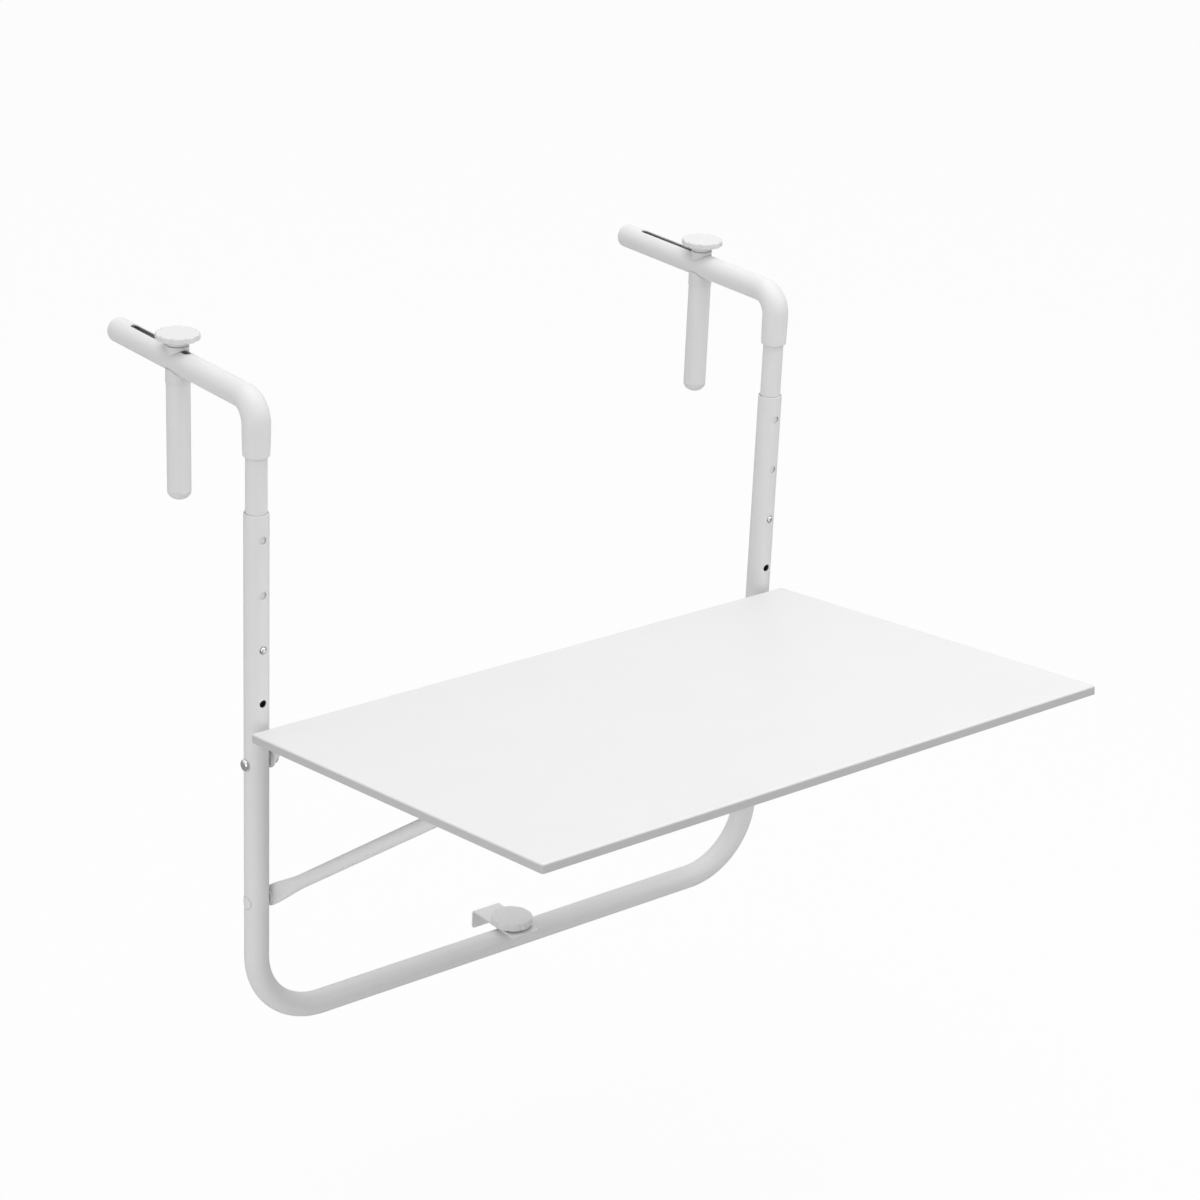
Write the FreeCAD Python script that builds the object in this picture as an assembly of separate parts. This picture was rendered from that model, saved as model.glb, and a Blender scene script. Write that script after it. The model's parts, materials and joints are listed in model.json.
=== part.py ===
"""Folding table that hangs on a balcony handrail.

Two tubular hooks lie over the handrail, telescope into the posts of a bent
U-frame and are held by sprung buttons. Clamp pins slide in slots along the
hook arms. A sheet-metal top hinges on the posts and rests on a folding stay.

Frame: +Z up, +Y towards the railing, +X to the right as seen from the seat
side. The origin lies midway between the posts, on the post axes, level with
the underside of the hook arms, which is where the handrail's top touches.
All sizes are in millimetres and degrees.
"""
import FreeCAD, Part
import math
import os

os.makedirs("parts", exist_ok=True)

Vec = FreeCAD.Vector
ORIGIN = Vec(0, 0, 0)
X_AXIS = Vec(1, 0, 0)
Y_AXIS = Vec(0, 1, 0)
Z_AXIS = Vec(0, 0, 1)
SIDES = {"left": -1, "right": 1}

# Clearances
RUNNING_FIT = 0.05
SLIDE_GAP = 0.3
PLUG_GAP = 0.05
FACE_GAP = 0.1

# U-frame: one tube bent twice, its post axes a little inside the top's side edges
POST_INSET = 16.2
POST_R = 11.0
POST_WALL = 1.2
RIM_Z = -86.4
RAIL_Z = -575.2
FRAME_BEND_R = 68.0

# Row of height holes down the front of each post
HOLE_R = 3.2
HOLE_COUNT = 4
HOLE_PITCH = 50.0
FIRST_HOLE_BELOW_RIM = 22.0
HOLE_COUNT_ABOVE_BUTTON = 2

# Hook: sleeve, bend and arm from one tube
HOOK_R = 11.15
HOOK_WALL = 1.0
HOOK_BEND_R = 20.0
ARM_LENGTH = 221.0
SLEEVE_BOTTOM_Z = -36.0
SWAGE_MOUTH_H = 3.0
SWAGE_TOP_Z = -10.0
SWAGE_DROP = 0.45
SLOT_WIDTH = 6.5
SLOT_START = 104.5
SLOT_LENGTH = 93.5
ARM_PLUG_DOME = 6.0

# Inner tube that telescopes into the post
INNER_R = 9.4
INNER_WALL = 1.0
INNER_TOP_Z = -12.0
INNER_BELOW_BUTTON = 21.6

# Snap button and its leaf spring
BUTTON_R = 3.0
BUTTON_PROUD = 1.6
BUTTON_FLANGE_R = 4.2
BUTTON_FLANGE_H = 0.8
BUTTON_TAIL_R = 1.2
BUTTON_TAIL_HEAD_R = 1.9
BUTTON_TAIL_HEAD_H = 0.6
LEAF_WIDTH = 6.0
LEAF_THICK = 0.5
LEAF_LENGTH = 46.0
LEAF_APEX_R = 1.5

# Handrail clamp: knob, spacer, saddle and pin
CLAMP_Y = {"left": 123.0, "right": 109.5}
PIN_R = 10.5
PIN_WALL = 1.2
PIN_LENGTH = 98.0
PIN_CAP_H = 8.3
PIN_CAP_RING_H = 2.6
SADDLE_R = 11.0
SADDLE_DEPTH = 8.2
SADDLE_HORN_H = 5.2
SPACER_R = 9.75
SPACER_TOP_ABOVE_ARM = 16.65
SPIGOT_LENGTH = 14.0
SPIGOT_WALL = 2.0

# Lobed knobs, each moulded round a hexagon-headed stud
KNOB_R = 19.3
KNOB_H = 7.2
KNOB_LOBES = 10
KNOB_SCALLOP_DEPTH = 1.1
KNOB_SCALLOP_R = 10.0
KNOB_RIM_CHAMFER = 1.3
KNOB_POCKET_DEPTH = 4.4
KNOB_SKIRT_WALL = 2.6
KNOB_RIBS = 5
KNOB_RIB_THICK = 1.4
KNOB_NECK_R = 9.0
CLAMP_NECK_H = 1.5
STOP_NECK_H = 2.0
THREAD_R = 3.0
STUD_CLEARANCE = 0.25
STUD_HEAD_AF = 10.0
STUD_HEAD_H = 4.0
STUD_HEAD_COVER = 2.2
NUT_H = 5.0
CLAMP_NUT_DROP = 4.0

# Table top: a tray of folded sheet, open below, its front edge raised
TOP_WIDTH = 600.0
TOP_DEPTH = 410.6
TOP_EDGE = 8.0
SHEET = 1.2
TOP_CORNER_R = 2.5
TOP_EDGE_R = 2.0
TOP_SLOPE = 7.26
TOP_BACK_GAP = 5.2
TOP_BACK_Z = -280.0

# Hinge of the top: an ear plate inside each post
HINGE_Z = -317.5
HINGE_BOLT_R = 3.0
HINGE_WASHER_H = 1.0
HINGE_WASHER_R = 6.5
EAR_THICK = 2.0
EAR_TIP_R = 8.0
EAR_LENGTH = 40.0
EAR_FLANGE_WIDTH = 16.0
EAR_FRONT_LEAN = 42.0
EAR_BACK_LEAN = 20.0
EAR_WAIST_SHARE = 0.62
EAR_WAIST_BULGE = 2.6
EAR_WAIST_RISE = 8.0
EAR_HEEL_H = 9.0
EAR_NOTCH = 12.0
EAR_NOTCH_VIA = (3.4, 7.5)
EAR_NOSE = 3.0
BOLT_HEAD_R = 5.4
BOLT_HEAD_H = 3.6
BOLT_END = 1.0
LOCKNUT_AF = 10.0
LOCKNUT_HEX_H = 4.4
LOCKNUT_COLLAR_H = 1.6

# Folding stay: one bent tube, its ends flattened
STAY_Z = -451.5
STAY_R = 6.2
STAY_WALL = 1.0
STAY_LEG_GAP = 0.6
STAY_LENGTH = 332.5
STAY_BEND_R = 30.0
STAY_FLAT_THICK = 2.8
STAY_FLAT_LENGTH = 6.0
STAY_SHOULDER_LENGTH = 26.0
STAY_SHOULDER_STEPS = 4
STAY_WASHER_H = 1.9
STAY_WASHER_R = 6.5
RIVET_R = 3.0
RIVET_HEAD_R = 4.2
RIVET_HEAD_H = 1.0
RIVET_TAIL_R = 4.6
RIVET_TAIL_H = 1.7

# Catch strip under the top, just ahead of the stay's cross bar
CATCH_INSET = 85.0
CATCH_PLAY = 3.5
CATCH_LIP = 4.0
CATCH_PAD = 16.0

# Adjustable stop plate on the bottom rail, with its knob
STOP_PLATE_WIDTH = 29.4
STOP_PLATE_FRONT = 23.0
STOP_PLATE_BACK = 43.5
STOP_PLATE_THICK = 2.0
STOP_LIP_H = 16.5
STOP_SLOT_FORWARD = 10.0
STOP_SLOT_BACKWARD = 25.0
RIVNUT_BODY_R = 4.5
RIVNUT_BULGE_R = 5.4
RIVNUT_BULGE_H = 3.2
RIVNUT_LENGTH = 12.0

# Places that follow from the sizes above
POST_X = TOP_WIDTH / 2 - POST_INSET
POST_BORE_R = POST_R - POST_WALL
POST_INNER_FACE_X = POST_X - POST_R
ARM_Z = HOOK_R
HOOK_BORE_R = HOOK_R - HOOK_WALL
INNER_BORE_R = INNER_R - INNER_WALL
FIRST_HOLE_Z = RIM_Z - FIRST_HOLE_BELOW_RIM
BUTTON_Z = FIRST_HOLE_Z - HOLE_COUNT_ABOVE_BUTTON * HOLE_PITCH
PIN_TOP_Z = -SADDLE_DEPTH
PIN_BOTTOM_Z = PIN_TOP_Z - PIN_LENGTH
SPACER_TOP_Z = ARM_Z + SPACER_TOP_ABOVE_ARM
CLAMP_NUT_TOP_Z = PIN_TOP_Z - CLAMP_NUT_DROP
TOP_BACK_Y = -(POST_R + TOP_BACK_GAP)
SLOPE = math.radians(TOP_SLOPE)
EAR_X = POST_INNER_FACE_X - HINGE_WASHER_H
STAY_FLAT_X = POST_INNER_FACE_X - STAY_WASHER_H
STAY_LEG_X = POST_INNER_FACE_X - STAY_LEG_GAP - STAY_R
BAR_BELOW_TOP = SHEET + STAY_R + SLIDE_GAP
TOP_ABOVE_STAY = TOP_BACK_Y * math.sin(SLOPE) + (TOP_BACK_Z - STAY_Z) * math.cos(SLOPE)
RISE = SLOPE + math.asin((TOP_ABOVE_STAY - BAR_BELOW_TOP) / STAY_LENGTH)
BAR_Y = -STAY_LENGTH * math.cos(RISE)
BAR_Z = STAY_Z + STAY_LENGTH * math.sin(RISE)
RAIL_TOP_Z = RAIL_Z + POST_R
STOP_PLATE_TOP_Z = RAIL_TOP_Z + STOP_PLATE_THICK
STUD_SLOT_R = THREAD_R + STUD_CLEARANCE
ROUND_LIMIT = 1e-9
CATCH_WIDTH = TOP_WIDTH - 2 * CATCH_INSET


def outline(corners, place):
    """Closed face through 2-D corners; a corner given as (via, end) is reached by an arc."""
    edges = []
    first = place(*corners[0])
    here = first
    for corner in corners[1:] + [corners[0]]:
        curved = isinstance(corner[0], tuple)
        there = place(*(corner[1] if curved else corner))
        if here.distanceToPoint(there) > 1e-7:
            if curved:
                edges.append(Part.Arc(here, place(*corner[0]), there).toShape())
            else:
                edges.append(Part.makeLine(here, there))
        here = there
    return Part.Face(Part.Wire(edges))


def turned(corners):
    """Solid turned about the Z axis from a (radius, height) outline."""
    face = outline(corners, lambda r, z: Vec(r, 0, z))
    return face.revolve(ORIGIN, Z_AXIS, 360)


def rod(radius, z_low, z_high, x=0.0, y=0.0):
    """Upright round bar."""
    return Part.makeCylinder(radius, z_high - z_low, Vec(x, y, z_low))


def ring(outer_r, inner_r, z_low, z_high):
    """Upright hollow cylinder on the Z axis."""
    return rod(outer_r, z_low, z_high).cut(rod(inner_r, z_low - 1, z_high + 1))


def hexagon(across_flats, z_low, z_high):
    """Upright hexagonal bar with lightly chamfered ends."""
    corner_r = across_flats / math.sqrt(3)
    chamfer = 0.1 * across_flats * 0.5
    corners = [Vec(corner_r * math.cos(k * math.pi / 3), corner_r * math.sin(k * math.pi / 3), z_low)
               for k in range(6)]
    bar = Part.Face(Part.makePolygon(corners + corners[:1])).extrude(Vec(0, 0, z_high - z_low))
    envelope = turned([(0, z_low), (corner_r - chamfer, z_low), (corner_r, z_low + chamfer),
                       (corner_r, z_high - chamfer), (corner_r - chamfer, z_high), (0, z_high)])
    return bar.common(envelope)


def slot_bar(width, y_start, y_end, z_low, z_high):
    """Upright bar with a round-ended slot outline along Y, between the given outer ends."""
    half = width / 2
    face = outline([(-half, y_start + half), ((0, y_start), (half, y_start + half)),
                    (half, y_end - half), ((0, y_end), (-half, y_end - half))],
                   lambda x, y: Vec(x, y, z_low))
    return face.extrude(Vec(0, 0, z_high - z_low))


def bent_path(points, radius):
    """Wire of straight runs joined by tangent arcs of one radius."""
    edges = []
    here = points[0]
    for before, corner, after in zip(points, points[1:], points[2:]):
        inward = (before - corner).normalize()
        outward = (after - corner).normalize()
        half_angle = inward.getAngle(outward) / 2
        start = corner + inward * (radius / math.tan(half_angle))
        end = corner + outward * (radius / math.tan(half_angle))
        middle = corner + (inward + outward).normalize() * (radius / math.sin(half_angle) - radius)
        edges.append(Part.makeLine(here, start))
        edges.append(Part.Arc(start, middle, end).toShape())
        here = end
    edges.append(Part.makeLine(here, points[-1]))
    return Part.Wire(edges)


def bent_tube(points, bend_r, outer_r, inner_r):
    """Tube of one section swept along straight runs and tangent arcs."""
    path = bent_path(points, bend_r)
    heading = points[1] - points[0]
    outer = Part.Wire(Part.makeCircle(outer_r, points[0], heading))
    inner = Part.Wire(Part.makeCircle(inner_r, points[0], heading))
    return path.makePipe(Part.Face(outer)).cut(path.makePipe(Part.Face(inner)))


def shifted(shape, x=0.0, y=0.0, z=0.0):
    """Copy of a shape, moved."""
    moved = shape.copy()
    moved.translate(Vec(x, y, z))
    return moved


def laid_on_x(shape, side, x, y, z):
    """Copy of an upright shape turned so that its +Z end points away from the middle."""
    moved = shape.copy()
    moved.rotate(ORIGIN, Y_AXIS, 90 * side)
    moved.translate(Vec(side * x, y, z))
    return moved


def one_solid(shape):
    """The single solid of a shape, with split faces joined."""
    solids = shape.removeSplitter().Solids
    if len(solids) != 1:
        raise ValueError("expected one solid, found %d" % len(solids))
    return solids[0]


def u_frame():
    """Posts and bottom rail: one bent tube with its drilled holes."""
    frame = bent_tube([Vec(-POST_X, 0, RIM_Z), Vec(-POST_X, 0, RAIL_Z),
                       Vec(POST_X, 0, RAIL_Z), Vec(POST_X, 0, RIM_Z)],
                      FRAME_BEND_R, POST_R, POST_BORE_R)
    for side in SIDES.values():
        for index in range(HOLE_COUNT):
            hole_z = FIRST_HOLE_Z - index * HOLE_PITCH
            drill = Part.makeCylinder(HOLE_R, POST_R + 1, Vec(side * POST_X, 0, hole_z), -Y_AXIS)
            frame = frame.cut(drill)
        for radius, z in ((HINGE_BOLT_R, HINGE_Z), (RIVET_R, STAY_Z)):
            start = Vec(side * POST_X - POST_R - 1, 0, z)
            frame = frame.cut(Part.makeCylinder(radius + RUNNING_FIT, 2 * POST_R + 2, start, X_AXIS))
    frame = frame.cut(rod(RIVNUT_BODY_R + PLUG_GAP, RAIL_Z, RAIL_TOP_Z + 1))
    return one_solid(frame)


def hook_tube(side):
    """Sleeve swaged at its mouth, tight bend, and a slotted arm over the handrail."""
    x = side * POST_X
    tube = bent_tube([Vec(x, 0, SWAGE_TOP_Z), Vec(x, 0, ARM_Z), Vec(x, ARM_LENGTH, ARM_Z)],
                     HOOK_BEND_R, HOOK_R, HOOK_BORE_R)
    mouth_bore = INNER_R + PLUG_GAP
    waist_r = HOOK_R - SWAGE_DROP
    waist_z = SLEEVE_BOTTOM_Z + SWAGE_MOUTH_H
    swage = turned([(mouth_bore, SLEEVE_BOTTOM_Z), (mouth_bore + HOOK_WALL, SLEEVE_BOTTOM_Z),
                    (waist_r, waist_z), (HOOK_R, SWAGE_TOP_Z),
                    (HOOK_BORE_R, SWAGE_TOP_Z), (waist_r - HOOK_WALL, waist_z)])
    tube = tube.fuse(shifted(swage, x=x))
    slot = slot_bar(SLOT_WIDTH, SLOT_START, SLOT_START + SLOT_LENGTH, -1, 2 * ARM_Z + 1)
    return one_solid(tube.cut(shifted(slot, x=x)))


def inner_tube(side):
    """Tube fixed in the hook's sleeve that telescopes into the post."""
    tube = ring(INNER_R, INNER_BORE_R, BUTTON_Z - INNER_BELOW_BUTTON, INNER_TOP_Z)
    drill = Part.makeCylinder(HOLE_R, INNER_R + 1, Vec(0, 0, BUTTON_Z), -Y_AXIS)
    return one_solid(shifted(tube.cut(drill), x=side * POST_X))


def arm_plug(side):
    """Domed plug that closes the end of a hook arm."""
    dome = Part.makeSphere(HOOK_R)
    stretch = FreeCAD.Matrix()
    stretch.scale(1, 1, ARM_PLUG_DOME / HOOK_R)
    dome = dome.transformGeometry(stretch).common(rod(HOOK_R + 1, 0, ARM_PLUG_DOME + 1))
    spigot_r = HOOK_BORE_R - PLUG_GAP
    plug = dome.fuse(ring(spigot_r, spigot_r - SPIGOT_WALL, -SPIGOT_LENGTH, 0))
    plug.rotate(ORIGIN, X_AXIS, -90)
    return one_solid(shifted(plug, side * POST_X, ARM_LENGTH, ARM_Z))


def button_flange_y():
    """How far in front of the tube axis the button's flange meets the inner tube's bore."""
    return math.sqrt(INNER_BORE_R ** 2 - BUTTON_FLANGE_R ** 2) - PLUG_GAP


def snap_button(side):
    """Domed button with a flange behind the tube wall and a riveted tail."""
    tip = POST_R + BUTTON_PROUD
    shoulder = tip - 0.7 * BUTTON_R
    front = button_flange_y()
    back = front - BUTTON_FLANGE_H
    leaf_back = back - LEAF_THICK
    tail_end = leaf_back - BUTTON_TAIL_HEAD_H
    body = turned([(0, tail_end), (BUTTON_TAIL_HEAD_R, tail_end), (BUTTON_TAIL_HEAD_R, leaf_back),
                   (BUTTON_TAIL_R, leaf_back), (BUTTON_TAIL_R, back), (BUTTON_FLANGE_R, back),
                   (BUTTON_FLANGE_R, front), (BUTTON_R, front), (BUTTON_R, shoulder),
                   ((0.82 * BUTTON_R, tip - 0.2 * BUTTON_R), (0.3 * BUTTON_R, tip)), (0, tip)])
    body.rotate(ORIGIN, X_AXIS, 90)
    return one_solid(shifted(body, side * POST_X, 0, BUTTON_Z))


def snap_leaf(side):
    """V-shaped leaf spring that pushes the button out."""
    leaf_y = -(button_flange_y() - BUTTON_FLANGE_H - LEAF_THICK / 2)
    back_y = math.sqrt(INNER_BORE_R ** 2 - (LEAF_WIDTH / 2) ** 2) - LEAF_THICK
    lower_z = BUTTON_Z - LEAF_WIDTH
    points = [Vec(0, leaf_y, lower_z), Vec(0, leaf_y, BUTTON_Z + LEAF_WIDTH),
              Vec(0, 0, BUTTON_Z + LEAF_LENGTH), Vec(0, back_y, lower_z)]
    path = bent_path(points, LEAF_APEX_R)
    half_w = LEAF_WIDTH / 2
    half_t = LEAF_THICK / 2
    section = outline([(-half_w, -half_t), (half_w, -half_t), (half_w, half_t), (-half_w, half_t)],
                      lambda x, y: Vec(x, leaf_y + y, lower_z))
    leaf = path.makePipe(section)
    hole = Part.makeCylinder(BUTTON_TAIL_R + PLUG_GAP, 2, Vec(0, leaf_y - 1, BUTTON_Z), Y_AXIS)
    return one_solid(shifted(leaf.cut(hole), x=side * POST_X))


def arm_hollow():
    """Bar along Y that clears the hook arm, to cut saddle shapes from clamp pieces."""
    return Part.makeCylinder(HOOK_R + SLIDE_GAP, 4 * SADDLE_R, Vec(0, -2 * SADDLE_R, ARM_Z), Y_AXIS)


def clamp_spacer():
    """Round spacer under the knob, hollowed below to sit on the arm."""
    body = ring(SPACER_R, STUD_SLOT_R, ARM_Z, SPACER_TOP_Z)
    return one_solid(body.cut(arm_hollow()).common(rod(SPACER_R + 1, ARM_Z + 1, SPACER_TOP_Z + 1)))


def clamp_saddle():
    """Plug in the top of the pin, hollowed above to sit against the arm's underside."""
    spigot_r = PIN_R - PIN_WALL - PLUG_GAP
    body = rod(SADDLE_R, PIN_TOP_Z, SADDLE_HORN_H).cut(arm_hollow())
    body = body.fuse(rod(spigot_r, PIN_TOP_Z - SPIGOT_LENGTH, PIN_TOP_Z))
    body = body.cut(rod(STUD_SLOT_R, PIN_TOP_Z - SPIGOT_LENGTH - 1, ARM_Z))
    pocket = hexagon(STUD_HEAD_AF, CLAMP_NUT_TOP_Z - NUT_H, CLAMP_NUT_TOP_Z)
    return one_solid(body.cut(pocket))


def clamp_nut():
    """Hexagonal nut moulded into the saddle."""
    nut = hexagon(STUD_HEAD_AF, CLAMP_NUT_TOP_Z - NUT_H, CLAMP_NUT_TOP_Z)
    return one_solid(nut.cut(rod(THREAD_R + RUNNING_FIT, CLAMP_NUT_TOP_Z - NUT_H - 1, CLAMP_NUT_TOP_Z + 1)))


def clamp_pin():
    """Tube that hangs down behind the handrail."""
    return one_solid(ring(PIN_R, PIN_R - PIN_WALL, PIN_BOTTOM_Z, PIN_TOP_Z))


def pin_cap():
    """Plug with a rounded nose in the lower end of the pin."""
    spigot_r = PIN_R - PIN_WALL - PLUG_GAP
    spigot_bore_r = spigot_r - SPIGOT_WALL
    ring_z = PIN_BOTTOM_Z - PIN_CAP_RING_H
    tip_z = PIN_BOTTOM_Z - PIN_CAP_H
    dome = PIN_CAP_H - PIN_CAP_RING_H
    via = (PIN_R * math.cos(math.pi / 4), ring_z - dome * math.sin(math.pi / 4))
    cap = turned([(0, tip_z), (PIN_R * 0.42, tip_z), (via, (PIN_R, ring_z)),
                  (PIN_R, PIN_BOTTOM_Z), (spigot_r, PIN_BOTTOM_Z),
                  (spigot_r, PIN_BOTTOM_Z + SPIGOT_LENGTH), (spigot_bore_r, PIN_BOTTOM_Z + SPIGOT_LENGTH),
                  (spigot_bore_r, PIN_BOTTOM_Z), (0, PIN_BOTTOM_Z)])
    return one_solid(cap)


def stud(knob_bottom_z, end_z):
    """Hexagon-headed stud whose head is moulded into a knob."""
    head_top = knob_bottom_z + KNOB_H - STUD_HEAD_COVER
    body = rod(THREAD_R, end_z, head_top - STUD_HEAD_H)
    return one_solid(body.fuse(hexagon(STUD_HEAD_AF, head_top - STUD_HEAD_H, head_top)))


def knob(radius, seat_z, neck_h, stud_shape):
    """Lobed hand knob with a hollow, ribbed underside, moulded round its stud."""
    low = seat_z + neck_h
    high = low + KNOB_H
    body = rod(radius, low, high)
    centre_r = radius + KNOB_SCALLOP_R - KNOB_SCALLOP_DEPTH
    for index in range(KNOB_LOBES):
        angle = 2 * math.pi * (index + 0.5) / KNOB_LOBES
        body = body.cut(rod(KNOB_SCALLOP_R, low - 1, high + 1,
                            centre_r * math.cos(angle), centre_r * math.sin(angle)))
    rim = [edge for edge in body.Edges
           if all(abs(vertex.Z - high) < 1e-6 for vertex in edge.Vertexes)]
    body = body.makeChamfer(KNOB_RIM_CHAMFER, rim)
    skirt_r = radius - KNOB_SCALLOP_DEPTH - KNOB_SKIRT_WALL
    pocket = ring(skirt_r, KNOB_NECK_R, low - 1, low + KNOB_POCKET_DEPTH)
    for index in range(KNOB_RIBS):
        rib = Part.makeBox(skirt_r, KNOB_RIB_THICK, KNOB_POCKET_DEPTH + 2,
                           Vec(0, -KNOB_RIB_THICK / 2, low))
        rib.rotate(ORIGIN, Z_AXIS, 360.0 * index / KNOB_RIBS)
        pocket = pocket.cut(rib)
    body = body.cut(pocket).fuse(rod(KNOB_NECK_R, seat_z, low))
    return one_solid(body.cut(stud_shape))


def clamp_pieces(name, side):
    """All pieces of one handrail clamp, at its place along the arm."""
    low = SPACER_TOP_Z + CLAMP_NECK_H
    screw = stud(low, CLAMP_NUT_TOP_Z - NUT_H - THREAD_R)
    pieces = {
        "clamp_spacer": clamp_spacer(),
        "clamp_saddle": clamp_saddle(),
        "clamp_nut": clamp_nut(),
        "clamp_pin": clamp_pin(),
        "pin_cap": pin_cap(),
        "clamp_stud": screw,
        "clamp_knob": knob(KNOB_R, SPACER_TOP_Z, CLAMP_NECK_H, screw),
    }
    return {"%s_%s" % (name, piece): shifted(shape, side * POST_X, CLAMP_Y[name])
            for piece, shape in pieces.items()}


def on_top_slope(shape):
    """Copy of a shape drawn on the top's own axes: back edge at the origin, front towards -Y."""
    moved = shape.copy()
    moved.rotate(ORIGIN, X_AXIS, -TOP_SLOPE)
    moved.translate(Vec(0, TOP_BACK_Y, TOP_BACK_Z))
    return moved


def to_top_axes(y, z):
    """A point of the side view, as (forward from the back edge, below the top surface)."""
    dy = y - TOP_BACK_Y
    dz = z - TOP_BACK_Z
    forward = -dy * math.cos(SLOPE) + dz * math.sin(SLOPE)
    below = -dy * math.sin(SLOPE) - dz * math.cos(SLOPE)
    return forward, below


def rounded_slab(inset, depth_z, corner_r, edge_r):
    """Slab with rounded plan corners and a rounded upper edge, inset all round from the top's outline."""
    slab = Part.makeBox(TOP_WIDTH - 2 * inset, TOP_DEPTH - 2 * inset, depth_z,
                        Vec(-TOP_WIDTH / 2 + inset, -TOP_DEPTH + inset, -inset - depth_z))
    upright = [edge for edge in slab.Edges if abs(edge.tangentAt(edge.FirstParameter).z) > 0.9]
    slab = slab.makeFillet(corner_r, upright)
    upper = [edge for edge in slab.Edges
             if all(abs(vertex.Z + inset) < 1e-6 for vertex in edge.Vertexes)]
    return slab.makeFillet(edge_r, upper)


def top_panel():
    """Tray of folded sheet: flat top, rounded corners and turned-down edges."""
    tray = rounded_slab(0, TOP_EDGE, TOP_CORNER_R, TOP_EDGE_R)
    hollow = rounded_slab(SHEET, TOP_EDGE, TOP_CORNER_R - SHEET, TOP_EDGE_R - SHEET)
    return one_solid(on_top_slope(tray.cut(hollow)))


def ear(side):
    """Angle bracket under the top: a pointed ear down to the hinge bolt, and a welded flange."""
    hinge_v, hinge_h = to_top_axes(0, HINGE_Z)
    front_lean = math.radians(EAR_FRONT_LEAN)
    back_lean = math.radians(EAR_BACK_LEAN)
    front_v = hinge_v + EAR_TIP_R * math.sin(front_lean)
    front_h = hinge_h + EAR_TIP_R * math.cos(front_lean)
    waist_v = front_v + EAR_WAIST_SHARE * (TOP_EDGE - hinge_v)
    waist_h = front_h - EAR_WAIST_SHARE * (front_h - TOP_EDGE)
    waist_via = (waist_v + EAR_WAIST_BULGE, waist_h - EAR_WAIST_RISE)
    tip_via = (hinge_v - EAR_TIP_R * math.sin(back_lean), hinge_h + EAR_TIP_R * math.cos(back_lean))
    inside = TOP_EDGE_R + FACE_GAP
    under = TOP_EDGE + FACE_GAP
    back_v = hinge_v - EAR_TIP_R
    notch_via = (back_v + EAR_NOTCH_VIA[0], under + EAR_NOTCH_VIA[1])
    profile = [(EAR_LENGTH, SHEET), (EAR_LENGTH, SHEET + EAR_THICK), (EAR_LENGTH - EAR_NOSE, TOP_EDGE - 1),
               (TOP_EDGE + EAR_NOSE, TOP_EDGE - 0.5), (waist_via, (waist_v, waist_h)),
               (front_v, front_h), (tip_via, (back_v, hinge_h)), (back_v, hinge_h - EAR_HEEL_H),
               (notch_via, (back_v + EAR_NOTCH, under)), (inside, under), (inside, SHEET)]
    face = outline(profile, lambda v, h: Vec(0, -v, -h))
    plate = face.extrude(Vec(EAR_THICK, 0, 0))
    plate = plate.cut(Part.makeCylinder(HINGE_BOLT_R + RUNNING_FIT, EAR_THICK + 2,
                                        Vec(-1, -hinge_v, -hinge_h), X_AXIS))
    flange = Part.makeBox(EAR_FLANGE_WIDTH, EAR_LENGTH - inside, EAR_THICK,
                          Vec(EAR_THICK - EAR_FLANGE_WIDTH, -EAR_LENGTH, -SHEET - EAR_THICK))
    body = shifted(plate.fuse(flange), x=EAR_X - EAR_THICK)
    if side < 0:
        body = body.mirror(ORIGIN, X_AXIS)
    return one_solid(on_top_slope(body))


def catch_strip():
    """Angle strip under the top whose lip stops the stay's cross bar."""
    bar_v, bar_h = to_top_axes(BAR_Y, BAR_Z)
    lip_v = bar_v + STAY_R + CATCH_PLAY
    profile = [(lip_v, SHEET), (lip_v, SHEET + CATCH_LIP), (lip_v + SHEET, SHEET + CATCH_LIP),
               (lip_v + SHEET, 2 * SHEET), (lip_v + CATCH_PAD, 2 * SHEET), (lip_v + CATCH_PAD, SHEET)]
    face = outline(profile, lambda v, h: Vec(-CATCH_WIDTH / 2, -v, -h))
    return one_solid(on_top_slope(face.extrude(Vec(CATCH_WIDTH, 0, 0))))


def hinge_bolt(side):
    """Domed bolt through the post, washer and ear; drawn upright with its head on top."""
    grip = 2 * POST_R + HINGE_WASHER_H + EAR_THICK + FACE_GAP + LOCKNUT_HEX_H + LOCKNUT_COLLAR_H
    head = turned([(0, 0), (BOLT_HEAD_R, 0), (BOLT_HEAD_R, 0.3 * BOLT_HEAD_H),
                   ((0.78 * BOLT_HEAD_R, 0.8 * BOLT_HEAD_H), (0.3 * BOLT_HEAD_R, BOLT_HEAD_H)),
                   (0, BOLT_HEAD_H)])
    bolt = head.fuse(rod(HINGE_BOLT_R, -grip - BOLT_END, 0))
    return one_solid(laid_on_x(bolt, side, POST_X + POST_R, 0, HINGE_Z))


def hinge_locknut(side):
    """Nylon-ring lock nut on the inner side of the ear."""
    nut = hexagon(LOCKNUT_AF, -LOCKNUT_HEX_H, 0)
    collar_r = 0.42 * LOCKNUT_AF
    nut = nut.fuse(rod(collar_r, -LOCKNUT_HEX_H - LOCKNUT_COLLAR_H, -LOCKNUT_HEX_H))
    nut = nut.cut(rod(HINGE_BOLT_R + PLUG_GAP, -LOCKNUT_HEX_H - LOCKNUT_COLLAR_H - 1, 1))
    return one_solid(laid_on_x(nut, side, EAR_X - EAR_THICK - FACE_GAP, 0, HINGE_Z))


def spacer_washer(side, radius, shank_r, height, z):
    """Washer between a post and the plate that turns beside it."""
    washer = ring(radius, shank_r + PLUG_GAP, -height, 0)
    return one_solid(laid_on_x(washer, side, POST_INNER_FACE_X, 0, z))


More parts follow.
